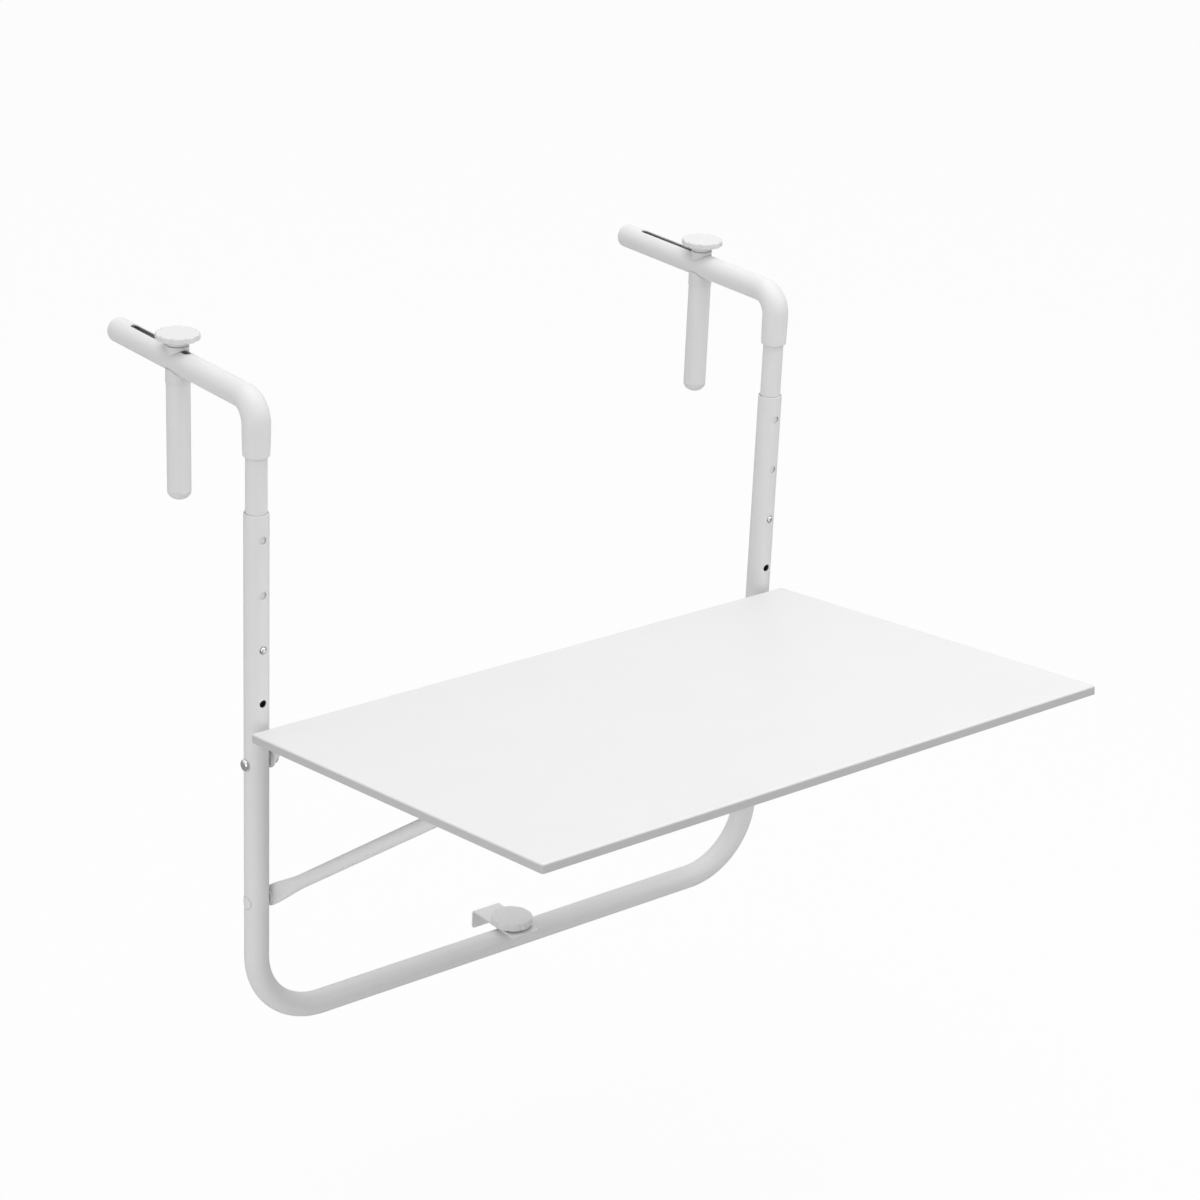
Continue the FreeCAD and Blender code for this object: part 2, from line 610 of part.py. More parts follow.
def hinge_washer(side):
    """Washer between a post and its hinge ear."""
    return spacer_washer(side, HINGE_WASHER_R, HINGE_BOLT_R, HINGE_WASHER_H, HINGE_Z)


def stay_washer(side):
    """Washer between a post and the flattened end of the stay."""
    return spacer_washer(side, STAY_WASHER_R, RIVET_R, STAY_WASHER_H, STAY_Z)


def stay_rivet(side):
    """Flat-headed rivet through the post, washer and the flattened end of the stay."""
    grip = 2 * POST_R + STAY_WASHER_H + STAY_FLAT_THICK + FACE_GAP
    head = turned([(0, 0), (RIVET_HEAD_R, 0), (RIVET_HEAD_R, 0.5 * RIVET_HEAD_H),
                   (RIVET_HEAD_R - 0.5 * RIVET_HEAD_H, RIVET_HEAD_H), (0, RIVET_HEAD_H)])
    tail = turned([(0, -grip), (RIVET_TAIL_R, -grip), (RIVET_TAIL_R, -grip - 0.3 * RIVET_TAIL_H),
                   ((0.8 * RIVET_TAIL_R, -grip - 0.8 * RIVET_TAIL_H),
                    (0.4 * RIVET_TAIL_R, -grip - RIVET_TAIL_H)), (0, -grip - RIVET_TAIL_H)])
    rivet = head.fuse(rod(RIVET_R, -grip, 0)).fuse(tail)
    return one_solid(laid_on_x(rivet, side, POST_X + POST_R, 0, STAY_Z))


def flattened_ring(thick, perimeter, along, centre_x):
    """Section of a tube squeezed to a thickness; two round ends, with flat sides once it isn't round."""
    half = thick / 2
    flat = max(perimeter / 2 - math.pi * half, 0.0) / 2
    if flat > ROUND_LIMIT:
        nick, rise, tip = half, flat, flat + half
        sides = [(nick, rise), (-nick, -rise)]
    else:
        nick = rise = half * math.cos(math.pi / 4)
        tip = half
        sides = [((half, 0), (nick, rise)), ((-half, 0), (-nick, -rise))]
    corners = [(-nick, -rise), ((0, -tip), (nick, -rise)), sides[0], ((0, tip), (-nick, rise)), sides[1]]
    return outline(corners, lambda x, z: Vec(centre_x + x, -along, z)).OuterWire


def stay_end(radius, flat_thick):
    """Solid from the round tube through its shoulder to the flattened end, drawn level along -Y."""
    perimeter = 2 * math.pi * radius
    flat_x = STAY_FLAT_X - STAY_FLAT_THICK / 2
    far = STAY_FLAT_LENGTH + STAY_SHOULDER_LENGTH
    sections = []
    for index in range(STAY_SHOULDER_STEPS + 1):
        share = index / STAY_SHOULDER_STEPS
        ease = share * share * (3 - 2 * share)
        thick = 2 * radius + (flat_thick - 2 * radius) * ease
        centre_x = STAY_LEG_X + (flat_x - STAY_LEG_X) * ease
        sections.append(flattened_ring(thick, perimeter, far - STAY_SHOULDER_LENGTH * share, centre_x))
    shoulder = Part.makeLoft(sections, True, False)
    flat = Part.Face(sections[-1]).extrude(Vec(0, 2 * STAY_FLAT_LENGTH + perimeter / 2, 0))
    return shoulder.fuse(flat)


def stay():
    """U-bent support tube with flattened, riveted ends."""
    far = STAY_FLAT_LENGTH + STAY_SHOULDER_LENGTH
    legs = [Vec(-STAY_LEG_X, -far, 0), Vec(-STAY_LEG_X, -STAY_LENGTH, 0),
            Vec(STAY_LEG_X, -STAY_LENGTH, 0), Vec(STAY_LEG_X, -far, 0)]
    tube = bent_tube(legs, STAY_BEND_R, STAY_R, STAY_R - STAY_WALL)
    slit = STAY_FLAT_THICK - 2 * STAY_WALL
    end = stay_end(STAY_R, STAY_FLAT_THICK).cut(stay_end(STAY_R - STAY_WALL, slit))
    half_width = STAY_FLAT_THICK / 2 + (math.pi * STAY_R - math.pi * STAY_FLAT_THICK / 2) / 2
    reach = 4 * STAY_R
    nose = Part.makeCylinder(half_width, 2 * reach, Vec(STAY_LEG_X - reach, 0, 0), X_AXIS)
    nose = nose.fuse(Part.makeBox(2 * reach, 2 * far, reach, Vec(STAY_LEG_X - reach, -2 * far, -reach / 2)))
    end = end.common(nose)
    end = end.cut(Part.makeCylinder(RIVET_R + RUNNING_FIT, 2 * reach, Vec(STAY_LEG_X - reach, 0, 0), X_AXIS))
    body = tube.fuse(end).fuse(end.mirror(ORIGIN, X_AXIS))
    body.rotate(ORIGIN, X_AXIS, -math.degrees(RISE))
    return one_solid(shifted(body, z=STAY_Z))


def stop_plate():
    """Slotted plate on the rail with a turned-down lip that meets the railing."""
    half = STOP_PLATE_WIDTH / 2
    low = RAIL_TOP_Z
    high = STOP_PLATE_TOP_Z
    bend = 2 * STOP_PLATE_THICK
    inner = bend - STOP_PLATE_THICK
    back = STOP_PLATE_BACK
    mid_out = bend * (1 - math.cos(math.pi / 4))
    mid_in = STOP_PLATE_THICK + inner * (1 - math.cos(math.pi / 4))
    side_view = [(-STOP_PLATE_FRONT, low), (-STOP_PLATE_FRONT, high), (back - bend, high),
                 ((back - mid_out, high - mid_out), (back, high - bend)), (back, high - STOP_LIP_H),
                 (back - STOP_PLATE_THICK, high - STOP_LIP_H), (back - STOP_PLATE_THICK, high - bend),
                 ((back - mid_in, high - mid_in), (back - bend, low))]
    plate = outline(side_view, lambda y, z: Vec(-half, y, z)).extrude(Vec(STOP_PLATE_WIDTH, 0, 0))
    slot = slot_bar(2 * STUD_SLOT_R, -STOP_SLOT_FORWARD - STUD_SLOT_R, STOP_SLOT_BACKWARD + STUD_SLOT_R,
                    low - 1, high + 1)
    plate = one_solid(plate.cut(slot))
    corners = [edge for edge in plate.Edges
               if all(abs(vertex.Y + STOP_PLATE_FRONT) < 1e-6 for vertex in edge.Vertexes)
               and abs(edge.tangentAt(edge.FirstParameter).z) > 0.9]
    return one_solid(plate.makeFillet(STOP_PLATE_THICK, corners))


def rail_rivnut():
    """Blind rivet nut set in the top wall of the rail."""
    bore = THREAD_R + RUNNING_FIT
    top = RAIL_TOP_Z - FACE_GAP
    bulge_high = RAIL_Z + math.sqrt(POST_BORE_R ** 2 - RIVNUT_BODY_R ** 2) - PLUG_GAP
    bulge_mid = bulge_high - 0.5 * RIVNUT_BULGE_H
    bulge_low = bulge_high - RIVNUT_BULGE_H
    foot = top - RIVNUT_LENGTH
    return one_solid(turned([(bore, foot), (RIVNUT_BODY_R, foot), (RIVNUT_BODY_R, bulge_low),
                             (RIVNUT_BULGE_R, bulge_mid), (RIVNUT_BODY_R, bulge_high),
                             (RIVNUT_BODY_R, top), (bore, top)]))


def every_piece():
    """Every piece of the table by name."""
    pieces = {"u_frame": u_frame(), "rail_rivnut": rail_rivnut()}
    pairs = {"hinge_bolts": hinge_bolt, "hinge_locknuts": hinge_locknut, "hinge_washers": hinge_washer,
             "stay_rivets": stay_rivet, "stay_washers": stay_washer}
    for name, make in pairs.items():
        pieces[name] = Part.makeCompound([make(side) for side in SIDES.values()])
    for name, side in SIDES.items():
        pieces[name + "_hook_tube"] = hook_tube(side)
        pieces[name + "_inner_tube"] = inner_tube(side)
        pieces[name + "_arm_plug"] = arm_plug(side)
        pieces[name + "_snap_button"] = snap_button(side)
        pieces[name + "_snap_leaf"] = snap_leaf(side)
        pieces[name + "_hinge_ear"] = ear(side)
        pieces.update(clamp_pieces(name, side))
    pieces["top_panel"] = top_panel()
    pieces["catch_strip"] = catch_strip()
    pieces["stay_tube"] = stay()
    pieces["stop_plate"] = stop_plate()
    screw = stud(STOP_PLATE_TOP_Z + STOP_NECK_H, RAIL_TOP_Z - RIVNUT_LENGTH - THREAD_R)
    pieces["stop_stud"] = screw
    pieces["stop_knob"] = knob(KNOB_R, STOP_PLATE_TOP_Z, STOP_NECK_H, screw)
    return pieces


for piece_name, piece_shape in every_piece().items():
    if not piece_shape.isValid():
        raise ValueError(piece_name + " is not a valid shape")
    piece_shape.exportStep("parts/%s.step" % piece_name)
    volume = sum(solid.Volume for solid in piece_shape.Solids)
    print("%-20s %d solid(s) %10.1f mm3" % (piece_name, len(piece_shape.Solids), volume))
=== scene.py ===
"""Looks of a folding table that hangs on a balcony handrail.

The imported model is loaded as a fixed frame. Each sub-assembly has a class that
holds its sizes, models its pieces on that frame and dresses them. Sizes are in
millimetres until they reach a mesh, which is in metres: +Z up, +Y towards the
railing, +X to the right as seen from the seat side.
"""

import json
import logging
import math
from collections.abc import Callable, Mapping, Sequence
from dataclasses import dataclass
from enum import Enum
from typing import Self

import bmesh
import bpy
from mathutils import Matrix, Vector


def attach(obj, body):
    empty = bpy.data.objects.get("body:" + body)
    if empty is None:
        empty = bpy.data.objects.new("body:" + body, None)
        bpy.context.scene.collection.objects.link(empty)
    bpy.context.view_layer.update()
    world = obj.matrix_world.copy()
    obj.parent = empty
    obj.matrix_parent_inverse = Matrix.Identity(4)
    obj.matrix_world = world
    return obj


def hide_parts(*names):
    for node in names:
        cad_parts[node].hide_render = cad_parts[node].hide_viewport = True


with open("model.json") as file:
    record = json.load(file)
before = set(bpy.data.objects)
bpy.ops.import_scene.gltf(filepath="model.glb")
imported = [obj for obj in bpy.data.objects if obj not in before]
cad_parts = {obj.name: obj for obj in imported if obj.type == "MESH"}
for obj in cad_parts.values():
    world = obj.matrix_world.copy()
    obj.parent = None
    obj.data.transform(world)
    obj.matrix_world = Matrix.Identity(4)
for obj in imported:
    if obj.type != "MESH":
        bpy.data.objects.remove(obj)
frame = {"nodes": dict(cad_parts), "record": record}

MM = 0.001
HAIR = 1e-6
NEAR_MM = 0.002
LOG = logging.getLogger("balcony_table")
Triple = tuple[float, float, float]
Profile = Sequence[tuple[float, ...]]
UP: Triple = (0.0, 0.0, 1.0)
TO_RAILING: Triple = (0.0, 1.0, 0.0)
TO_SEAT: Triple = (0.0, -1.0, 0.0)
RIGHTWARDS: Triple = (1.0, 0.0, 0.0)
LEFTWARDS: Triple = (-1.0, 0.0, 0.0)
WHITE = (1.0, 1.0, 1.0, 1.0)


class Side(Enum):
    """The two ends of the table, as seen from the seat."""

    LEFT = -1
    RIGHT = 1

    @property
    def word(self) -> str:
        """The side's name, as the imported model's names begin."""
        return self.name.lower()

    @property
    def outward(self) -> Triple:
        """Direction away from the middle."""
        return RIGHTWARDS if self is Side.RIGHT else LEFTWARDS

    @property
    def inward(self) -> Triple:
        """Direction to the middle."""
        return LEFTWARDS if self is Side.RIGHT else RIGHTWARDS


class Slot(Enum):
    """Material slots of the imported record."""

    STEEL = "white_steel"
    PLASTIC = "white_plastic"
    BRIGHT = "bright_steel"
    ZINC = "zinc_steel"
    SPRING = "spring_steel"


class Element(Enum):
    """Which kind of mesh element a pick works on."""

    POINTS = 0
    EDGES = 1
    FACES = 2


def mm(point: Sequence[float]) -> Vector:
    """A point or a step in millimetres, as a vector in metres."""
    return Vector(point) * MM


def near(a: float, b: float) -> bool:
    """Whether a coordinate in metres lies at a place in millimetres."""
    return abs(a / MM - b) < NEAR_MM


def polar(radius: float, height: float, degrees: float) -> tuple[float, float]:
    """A point of an ellipse about the origin, at an angle from its first axis."""
    return (radius * math.cos(math.radians(degrees)), height * math.sin(math.radians(degrees)))


def add_ring(radius: float, centre: Triple, facing: Triple, sides: int) -> None:
    """Adds a ring of edges; sizes are in millimetres."""
    turn = Vector(facing).to_track_quat("Z", "Y").to_euler()
    bpy.ops.mesh.primitive_circle_add(vertices=sides, radius=radius * MM, location=mm(centre), rotation=turn)


def arc_points(start: Vector, via: Vector, end: Vector, steps: int) -> list[Vector]:
    """Points along the arc through three points in one plane.

    Args:
        start: First point, which isn't returned.
        via: A point on the arc between the two ends.
        end: Last point, which is returned.
        steps: How many points to return.

    Returns:
        The points after start, evenly spaced.
    """
    u, v = (via - start), (end - start)
    normal = u.cross(v)
    centre = start + (u.length_squared * v - v.length_squared * u).cross(normal) / (2 * normal.length_squared)
    out = (start - centre).normalized()
    turn = normal.normalized().cross(out)
    radius = (start - centre).length
    angle = math.atan2((end - centre).dot(turn), (end - centre).dot(out)) % (2 * math.pi)
    return [centre + radius * (out * math.cos(angle * k / steps) + turn * math.sin(angle * k / steps))
            for k in range(1, steps + 1)]


class Workpiece:
    """One mesh on the bench, shaped step by step with Blender's own tools.

    It is told sizes and places in millimetres; the tests that pick its elements see metres.
    """

    def __init__(self) -> None:
        """Takes the object that was just added, with its place put into its mesh."""
        self.obj: bpy.types.Object = bpy.context.object
        bpy.ops.object.transform_apply(location=True, rotation=True, scale=True)

    @staticmethod
    def clear_bench() -> None:
        """Leaves edit mode and deselects everything."""
        if bpy.context.mode != "OBJECT":
            bpy.ops.object.mode_set(mode="OBJECT")
        bpy.ops.object.select_all(action="DESELECT")

    @classmethod
    def circle(cls, radius: float, centre: Triple, facing: Triple, sides: int = 96) -> Self:
        """An open ring of edges.

        Args:
            radius: Radius.
            centre: Middle of the ring.
            facing: Direction of the ring's axis.
            sides: Number of edges.

        Returns:
            The piece, in edit mode with the ring selected.
        """
        cls.clear_bench()
        add_ring(radius, centre, facing, sides)
        return cls().edit()

    @classmethod
    def block(cls, size: Triple, centre: Triple) -> Self:
        """A block of a size in millimetres about a middle.

        Args:
            size: Its three sizes.
            centre: Its middle.

        Returns:
            The piece, in edit mode.
        """
        cls.clear_bench()
        bpy.ops.mesh.primitive_cube_add(size=1, location=mm(centre), scale=mm(size))
        return cls().edit()

    @classmethod
    def bar(cls, radius: float, start: Triple, facing: Triple, length: float) -> Self:
        """A round bar with closed ends, from a start along a direction, as a cutter."""
        return cls.circle(radius, start, facing, 64).draw_out(Vector(facing) * length)

    @classmethod
    def through(cls, radius: float, middle: Triple, facing: Triple, reach: float = 30.0) -> Self:
        """A round bar that reaches equally far both ways from its middle, as a cutter."""
        return cls.bar(radius, tuple(Vector(middle) - Vector(facing) * reach), facing, 2 * reach)

    @classmethod
    def trace(cls, points: Sequence[Vector], closed: bool = False) -> Self:
        """A line of edges drawn by pulling one point from place to place.

        Args:
            points: The places.
            closed: Whether the line comes back to its start.

        Returns:
            The piece, in edit mode with all of it selected.
        """
        cls.clear_bench()
        bpy.ops.mesh.primitive_plane_add(size=MM, location=mm(points[0]))
        piece = cls().edit()
        bpy.ops.mesh.merge(type="CENTER")
        for here, there in zip(points, list(points[1:]) + list(points[:1] if closed else [])):
            piece.extrude(there - here)
        return piece.everything().weld()

    @classmethod
    def slot_bar(cls, x: float, ends: tuple[float, float], radius: float, z: float, height: float) -> Self:
        """Upright bar with round ends that cuts a slot along Y; sizes are.

        Args:
            x: Where its middle plane lies.
            ends: Centres of its two round ends, along Y.
            radius: Half its width.
            z: Its lower end.
            height: Its height.

        Returns:
            The piece, in edit mode.
        """
        first, last = ends
        cutter = cls.trace([Vector((x + radius, first, z))])
        for here, there in ((first, last), (last, first)):
            cutter.spin(-180, (x, here, z), UP, 16)
            cutter.extrude((0, there - here, 0))
        return cutter.everything().weld().draw_out((0, 0, height))

    @classmethod
    def lathe(cls, origin: Triple, axis: Triple, profile: Profile, closed: bool = False,
              sides: int = 96) -> Self:
        """A turned piece.

        Args:
            origin: The point on the axis that heights count from.
            axis: Direction of growing height.
            profile: Corners as (radius, height) or (radius, height, rounding).
            closed: Whether the profile closes on itself, as for a ring.
            sides: Number of steps round the axis.

        Returns:
            The piece, in edit mode.
        """
        along = Vector(axis)
        out = along.orthogonal().normalized()
        places = [Vector(origin) + out * corner[0] + along * corner[1] for corner in profile]
        piece = cls.trace(places, closed)
        for corner, place in zip(profile, places):
            if len(corner) > 2:
                piece.pick(Element.POINTS, lambda v, at=mm(place): (v.co - at).length < HAIR)
                bpy.ops.mesh.bevel(offset=corner[2] * MM, segments=3, affect="VERTICES")
        piece.everything()
        bpy.ops.mesh.spin(steps=sides, angle=2 * math.pi, center=mm(origin), axis=along)
        return piece.everything().weld().outward()

    def alone(self) -> None:
        """Selects this piece alone, in object mode."""
        self.clear_bench()
        self.obj.select_set(True)
        bpy.context.view_layer.objects.active = self.obj

    def edit(self) -> Self:
        """Puts this piece alone into edit mode.

        Returns:
            The piece, with all of it selected.
        """
        self.alone()
        bpy.context.tool_settings.mesh_select_mode = (True, False, False)
        bpy.ops.object.mode_set(mode="EDIT")
        return self.everything()

    def everything(self) -> Self:
        """Selects the whole mesh."""
        bpy.ops.mesh.select_all(action="SELECT")
        return self

    def pick(self, kind: Element, test: Callable[..., bool]) -> Self:
        """Selects the points, edges or faces that pass a test, and nothing else.

        Args:
            kind: What to select.
            test: Says whether one element is wanted.

        Returns:
            The piece.
        """
        bpy.context.tool_settings.mesh_select_mode = tuple(index == kind.value for index in range(3))
        bpy.ops.mesh.select_all(action="DESELECT")
        mesh = bmesh.from_edit_mesh(self.obj.data)
        for element in (mesh.verts, mesh.edges, mesh.faces)[kind.value]:
            element.select_set(test(element))
        mesh.select_flush_mode()
        bmesh.update_edit_mesh(self.obj.data)
        return self

    def pick_edges(self, test: Callable[[Vector, Vector], bool]) -> Self:
        """Selects the edges whose two ends, in metres, pass a test."""
        return self.pick(Element.EDGES, lambda edge: test(edge.verts[0].co, edge.verts[1].co))

    def pick_folds(self) -> Self:
        """Selects the edges where two faces meet at more than 1 radian."""
        return self.pick(Element.EDGES, lambda edge: edge.calc_face_angle(0) > 1.0)

    def extrude(self, step: Sequence[float]) -> Self:
        """Extrudes the selection by a step."""
        bpy.ops.mesh.extrude_region_move(TRANSFORM_OT_translate={"value": mm(step)})
        return self

    def draw_out(self, step: Sequence[float]) -> Self:
        """Fills the selected outline and draws it out into a solid bar, by a step."""
        bpy.ops.mesh.edge_face_add()
        return self.extrude(step).outward()

    def run(self, along: Triple, *levels: float) -> Self:
        """Extrudes the selection along an axis, through levels.

        Args:
            along: The axis.
            levels: Where the selection lies now, then where its new rings come.

        Returns:
            The piece.
        """
        for here, there in zip(levels, levels[1:]):
            self.extrude(Vector(along) * (there - here))
        return self

    def spin(self, degrees: float, centre: Triple, axis: Triple, steps: int) -> Self:
        """Extrudes the selection in steps along an arc, by the right-hand rule about an axis."""
        bpy.ops.mesh.spin(steps=steps, angle=-math.radians(degrees), center=mm(centre), axis=axis)
        return self

    def resize(self, factors: Triple, centre: Triple) -> Self:
        """Scales the selection about a point."""
        bpy.ops.transform.resize(value=factors, center_override=mm(centre))
        return self

    def move(self, step: Triple) -> Self:
        """Moves the selection by a step."""
        bpy.ops.transform.translate(value=mm(step))
        return self

    def bevel(self, width: float, segments: int) -> Self:
        """Rounds the selected edges by a width."""
        bpy.ops.mesh.bevel(offset=width * MM, segments=segments, affect="EDGES")
        return self

    def weld(self, reach: float = HAIR) -> Self:
        """Merges the selected points that lie within a reach in metres."""
        bpy.ops.mesh.remove_doubles(threshold=reach)
        return self

    def outward(self) -> Self:
        """Turns all faces outwards.

        Returns:
            The piece, with all of it selected.
        """
        self.everything()
        bpy.ops.mesh.normals_make_consistent(inside=False)
        return self

    def paint(self, *materials: bpy.types.Material) -> Self:
        """Gives the piece its materials.

        Args:
            materials: The finish, and the one that a wall made later takes inside.

        Returns:
            The piece, in object mode.
        """
        self.clear_bench()
        self.obj.data.materials.clear()
        for material in materials:
            self.obj.data.materials.append(material)
        return self

    def modify(self, kind: str, **settings: object) -> Self:
        """Adds a modifier and applies it.

        Args:
            kind: The modifier's type.
            settings: Its settings by name.

        Returns:
            The piece, in object mode.
        """
        self.alone()
        bpy.ops.object.modifier_add(type=kind)
        modifier = self.obj.modifiers[-1]
        for name, value in settings.items():
            setattr(modifier, name, value)
        bpy.ops.object.modifier_apply(modifier=modifier.name)
        return self

    def wall(self, thickness: float) -> Self:
        """Gives an open shell its wall in millimetres, inwards; its last material lies inside."""
        return self.modify("SOLIDIFY", thickness=thickness * MM, offset=-1.0, use_even_offset=True,
                           use_quality_normals=True, material_offset=len(self.obj.data.materials) - 1)

    def cut(self, other: Self, operation: str = "DIFFERENCE") -> Self:
        """Cuts another piece out of this one, or makes it grow into this one, and discards it.

        Args:
            other: The other piece.
            operation: What the Boolean modifier does with it.

        Returns:
            The piece, in object mode.
        """
        self.modify("BOOLEAN", object=other.obj, operation=operation, solver="EXACT")
        bpy.data.objects.remove(other.obj)
        return self

    def join(self, other: Self) -> Self:
        """Takes another piece into this one's mesh.

        Args:
            other: The other piece.

        Returns:
            The piece, in object mode.
        """
        self.alone()
        other.obj.select_set(True)
        bpy.ops.object.join()
        return self

    def place(self, turn_about_x: float, at: Triple) -> Self:
        """Turns the whole piece, then moves it.

        Args:
            turn_about_x: Turn in degrees.
            at: Step.

        Returns:
            The piece, in object mode.
        """
        self.alone()
        self.obj.rotation_euler.x = math.radians(turn_about_x)
        self.obj.location = mm(at)
        bpy.ops.object.transform_apply(location=True, rotation=True, scale=True)
        return self

    def copy(self, step: Triple) -> Self:
        """A copy with its own mesh.

        Args:
            step: How far from this piece it lies.

        Returns:
            The copy, in object mode.
        """
        self.alone()
        bpy.ops.object.duplicate(linked=False)
        bpy.context.object.location = mm(step)
        return type(self)()


@dataclass(frozen=True)
class Signal:
    """What leaves a node; in plain arithmetic each step adds a Math node."""

    graph: "Graph"
    socket: bpy.types.NodeSocket | None

    def __add__(self, other: "Signal | float") -> "Signal":
        """This plus other."""
        return self.graph.maths("ADD", self, other)

    def __sub__(self, other: "Signal | float") -> "Signal":
        """This minus other."""
        return self.graph.maths("SUBTRACT", self, other)

    def __mul__(self, other: "Signal | float") -> "Signal":
        """This times other."""
        return self.graph.maths("MULTIPLY", self, other)

    __radd__ = __add__
    __rmul__ = __mul__


class Graph:
    """The node graph of one material or world."""

    def __init__(self, owner: bpy.types.Material | bpy.types.World) -> None:
        """Starts on an emptied graph.

        Args:
            owner: The material or the world that it belongs to.
        """
        owner.use_nodes = True
        self.tree = owner.node_tree
        self.tree.nodes.clear()

    def node(self, kind: str, inputs: Mapping[str | int, object], output: str | int = 0,
             **settings: object) -> Signal:
        """Adds a node.

        Args:
            kind: The node's type, without its first word.
            inputs: Values, or signals to link, by socket name or number.
            output: The output socket to return.
            settings: The node's own settings, set before its sockets.

        Returns:
            That output, as a signal.
        """
        node = self.tree.nodes.new("ShaderNode" + kind)
        for name, value in settings.items():
            setattr(node, name, value)
        for name, value in inputs.items():
            if isinstance(value, Signal):
                self.tree.links.new(value.socket, node.inputs[name])
            else:
                node.inputs[name].default_value = value
        return Signal(self, node.outputs[output] if len(node.outputs) else None)

    def maths(self, operation: str, first: Signal, second: Signal | float) -> Signal:
        """Adds a Math node on two values."""
        return self.node("Math", {0: first, 1: second}, operation=operation)

    def blend(self, share: Signal, low: Signal | Triple, high: Signal | Triple) -> Signal:
        """A colour between two others, plain or signals, by a share from 0 to 1."""
        low, high = (end if isinstance(end, Signal) else (*end, 1.0) for end in (low, high))
        return self.node("Mix", {0: share, 6: low, 7: high}, 2, data_type="RGBA", clamp_factor=True)

    def clamped(self, value: Signal, low: float, high: float) -> Signal:
        """A share from 0 to 1 that says where a value lies between two others."""
        return self.node("MapRange", {"Value": value, "From Min": low, "From Max": high}, clamp=True)

    def ray(self, kind: str) -> Signal:
        """1 for one kind of ray, such as those from the camera or from a mirror, else 0."""
        return self.node("LightPath", {}, "Is %s Ray" % kind)

    def glow(self, kind: str, level: float) -> Signal:
        """A white glow, of a surface or of the surroundings."""
        return self.node(kind, {"Color": WHITE, "Strength": level})

    def either(self, share: Signal, low: Signal, high: Signal) -> Signal:
        """A shader between two others, by a share from 0 to 1."""
        return self.node("MixShader", {0: share, 1: low, 2: high})


@dataclass(frozen=True)
class Grain:
    """Noise fixed to the object: the size of its features, and how much it sways each quality."""

    size_mm: float
    detail: float
    distortion: float = 0.0
    tone: float = 0.0
    rough: float = 0.0
    relief: float = 0.0

    def on(self, graph: Graph) -> Signal:
        """Adds the noise to a graph, from 0 to 1.

        Args:
            graph: The graph.

        Returns:
            The noise.
        """
        inputs = {"Vector": graph.node("TexCoord", {}, "Object"), "Scale": 1.0 / (self.size_mm * MM),
                  "Detail": self.detail, "Roughness": 0.5, "Distortion": self.distortion}
        return graph.node("TexNoise", inputs, noise_dimensions="3D")


@dataclass(frozen=True)
class Finish:
    """A finish whose tone, roughness and relief its grains sway."""

    name: str
    light: Triple
    dark: Triple
    roughness: float
    grains: tuple[Grain, ...]
    depth_mm: float
    ior: float = 1.5
    metallic: float = 0.0

    def colour(self, graph: Graph, share: Signal) -> Signal:
        """The base colour, between dark and light by a share."""
        return graph.blend(share, self.dark, self.light)

    def make(self) -> bpy.types.Material:
        """Builds the material.

        Returns:
            The material.
        """
        material = bpy.data.materials.new(self.name)
        graph = Graph(material)
        noises = [(grain, grain.on(graph)) for grain in self.grains]
        share = sum(grain.tone * noise for grain, noise in noises if grain.tone)
        rough = sum((grain.rough * (noise - 0.5) for grain, noise in noises if grain.rough), self.roughness)
        relief = sum(grain.relief * noise for grain, noise in noises if grain.relief)
        bump = graph.node("Bump", {"Strength": 1.0, "Distance": self.depth_mm * MM, "Height": relief})
        shader = graph.node("BsdfPrincipled", {"Base Color": self.colour(graph, share), "Roughness": rough,
                                               "Metallic": self.metallic, "IOR": self.ior, "Normal": bump})
        graph.node("OutputMaterial", {"Surface": shader})
        return material


@dataclass(frozen=True)
class PowderCoat(Finish):
    """White powder coat on steel: a fine orange peel and faint clouds."""

    light: Triple = (0.83, 0.83, 0.83)
    dark: Triple = (0.79, 0.79, 0.795)
    roughness: float = 0.42
    grains: tuple[Grain, ...] = (Grain(45.0, 3.0, tone=0.8, rough=0.1), Grain(1.1, 2.0, relief=0.8),
                                 Grain(0.5, 1.0, tone=0.2, rough=0.08, relief=0.2))
    depth_mm: float = 0.012


@dataclass(frozen=True)
class SheetCoatWithPaintedEdgeShade(Finish):
    """White powder coat on the folded sheet, with painted shade: its turned-down edges get darker tones,
    where less light falls.
    """

    light: Triple = (0.84, 0.84, 0.84)
    dark: Triple = (0.815, 0.815, 0.818)
    roughness: float = 0.34
    grains: tuple[Grain, ...] = (Grain(60.0, 3.0, tone=0.8, rough=0.1), Grain(1.5, 2.0, relief=0.8),
                                 Grain(0.6, 1.0, tone=0.2, rough=0.06, relief=0.2))
    depth_mm: float = 0.01
    # Darker tones of painted shade, for faces that turn away from up; the two levels below set where that
    # painted shade is full and where it ends.
    edge_light: Triple = (0.6, 0.6, 0.6)
    edge_dark: Triple = (0.56, 0.56, 0.563)
    facing: Triple = (0.0, 0.12637, 0.99198)
    edge_level: float = 0.2
    flat_level: float = 0.95

    def colour(self, graph: Graph, share: Signal) -> Signal:
        """The base colour: the flat's tones where the sheet faces up, else the edges' darker tones, which are
        painted shade.

        Args:
            graph: The finish's graph.
            share: Where between dark and light each tone lies.

        Returns:
            The colour.
        """
        # Painted shade: the less a face turns up, the more it takes the darker edge tones.
        normal = graph.node("TexCoord", {}, "Normal")
        level = graph.node("VectorMath", {0: normal, 1: self.facing}, "Value", operation="DOT_PRODUCT")
        flat = graph.clamped(level, self.edge_level, self.flat_level)
        return graph.blend(flat, graph.blend(share, self.edge_dark, self.edge_light),
                           graph.blend(share, self.dark, self.light))


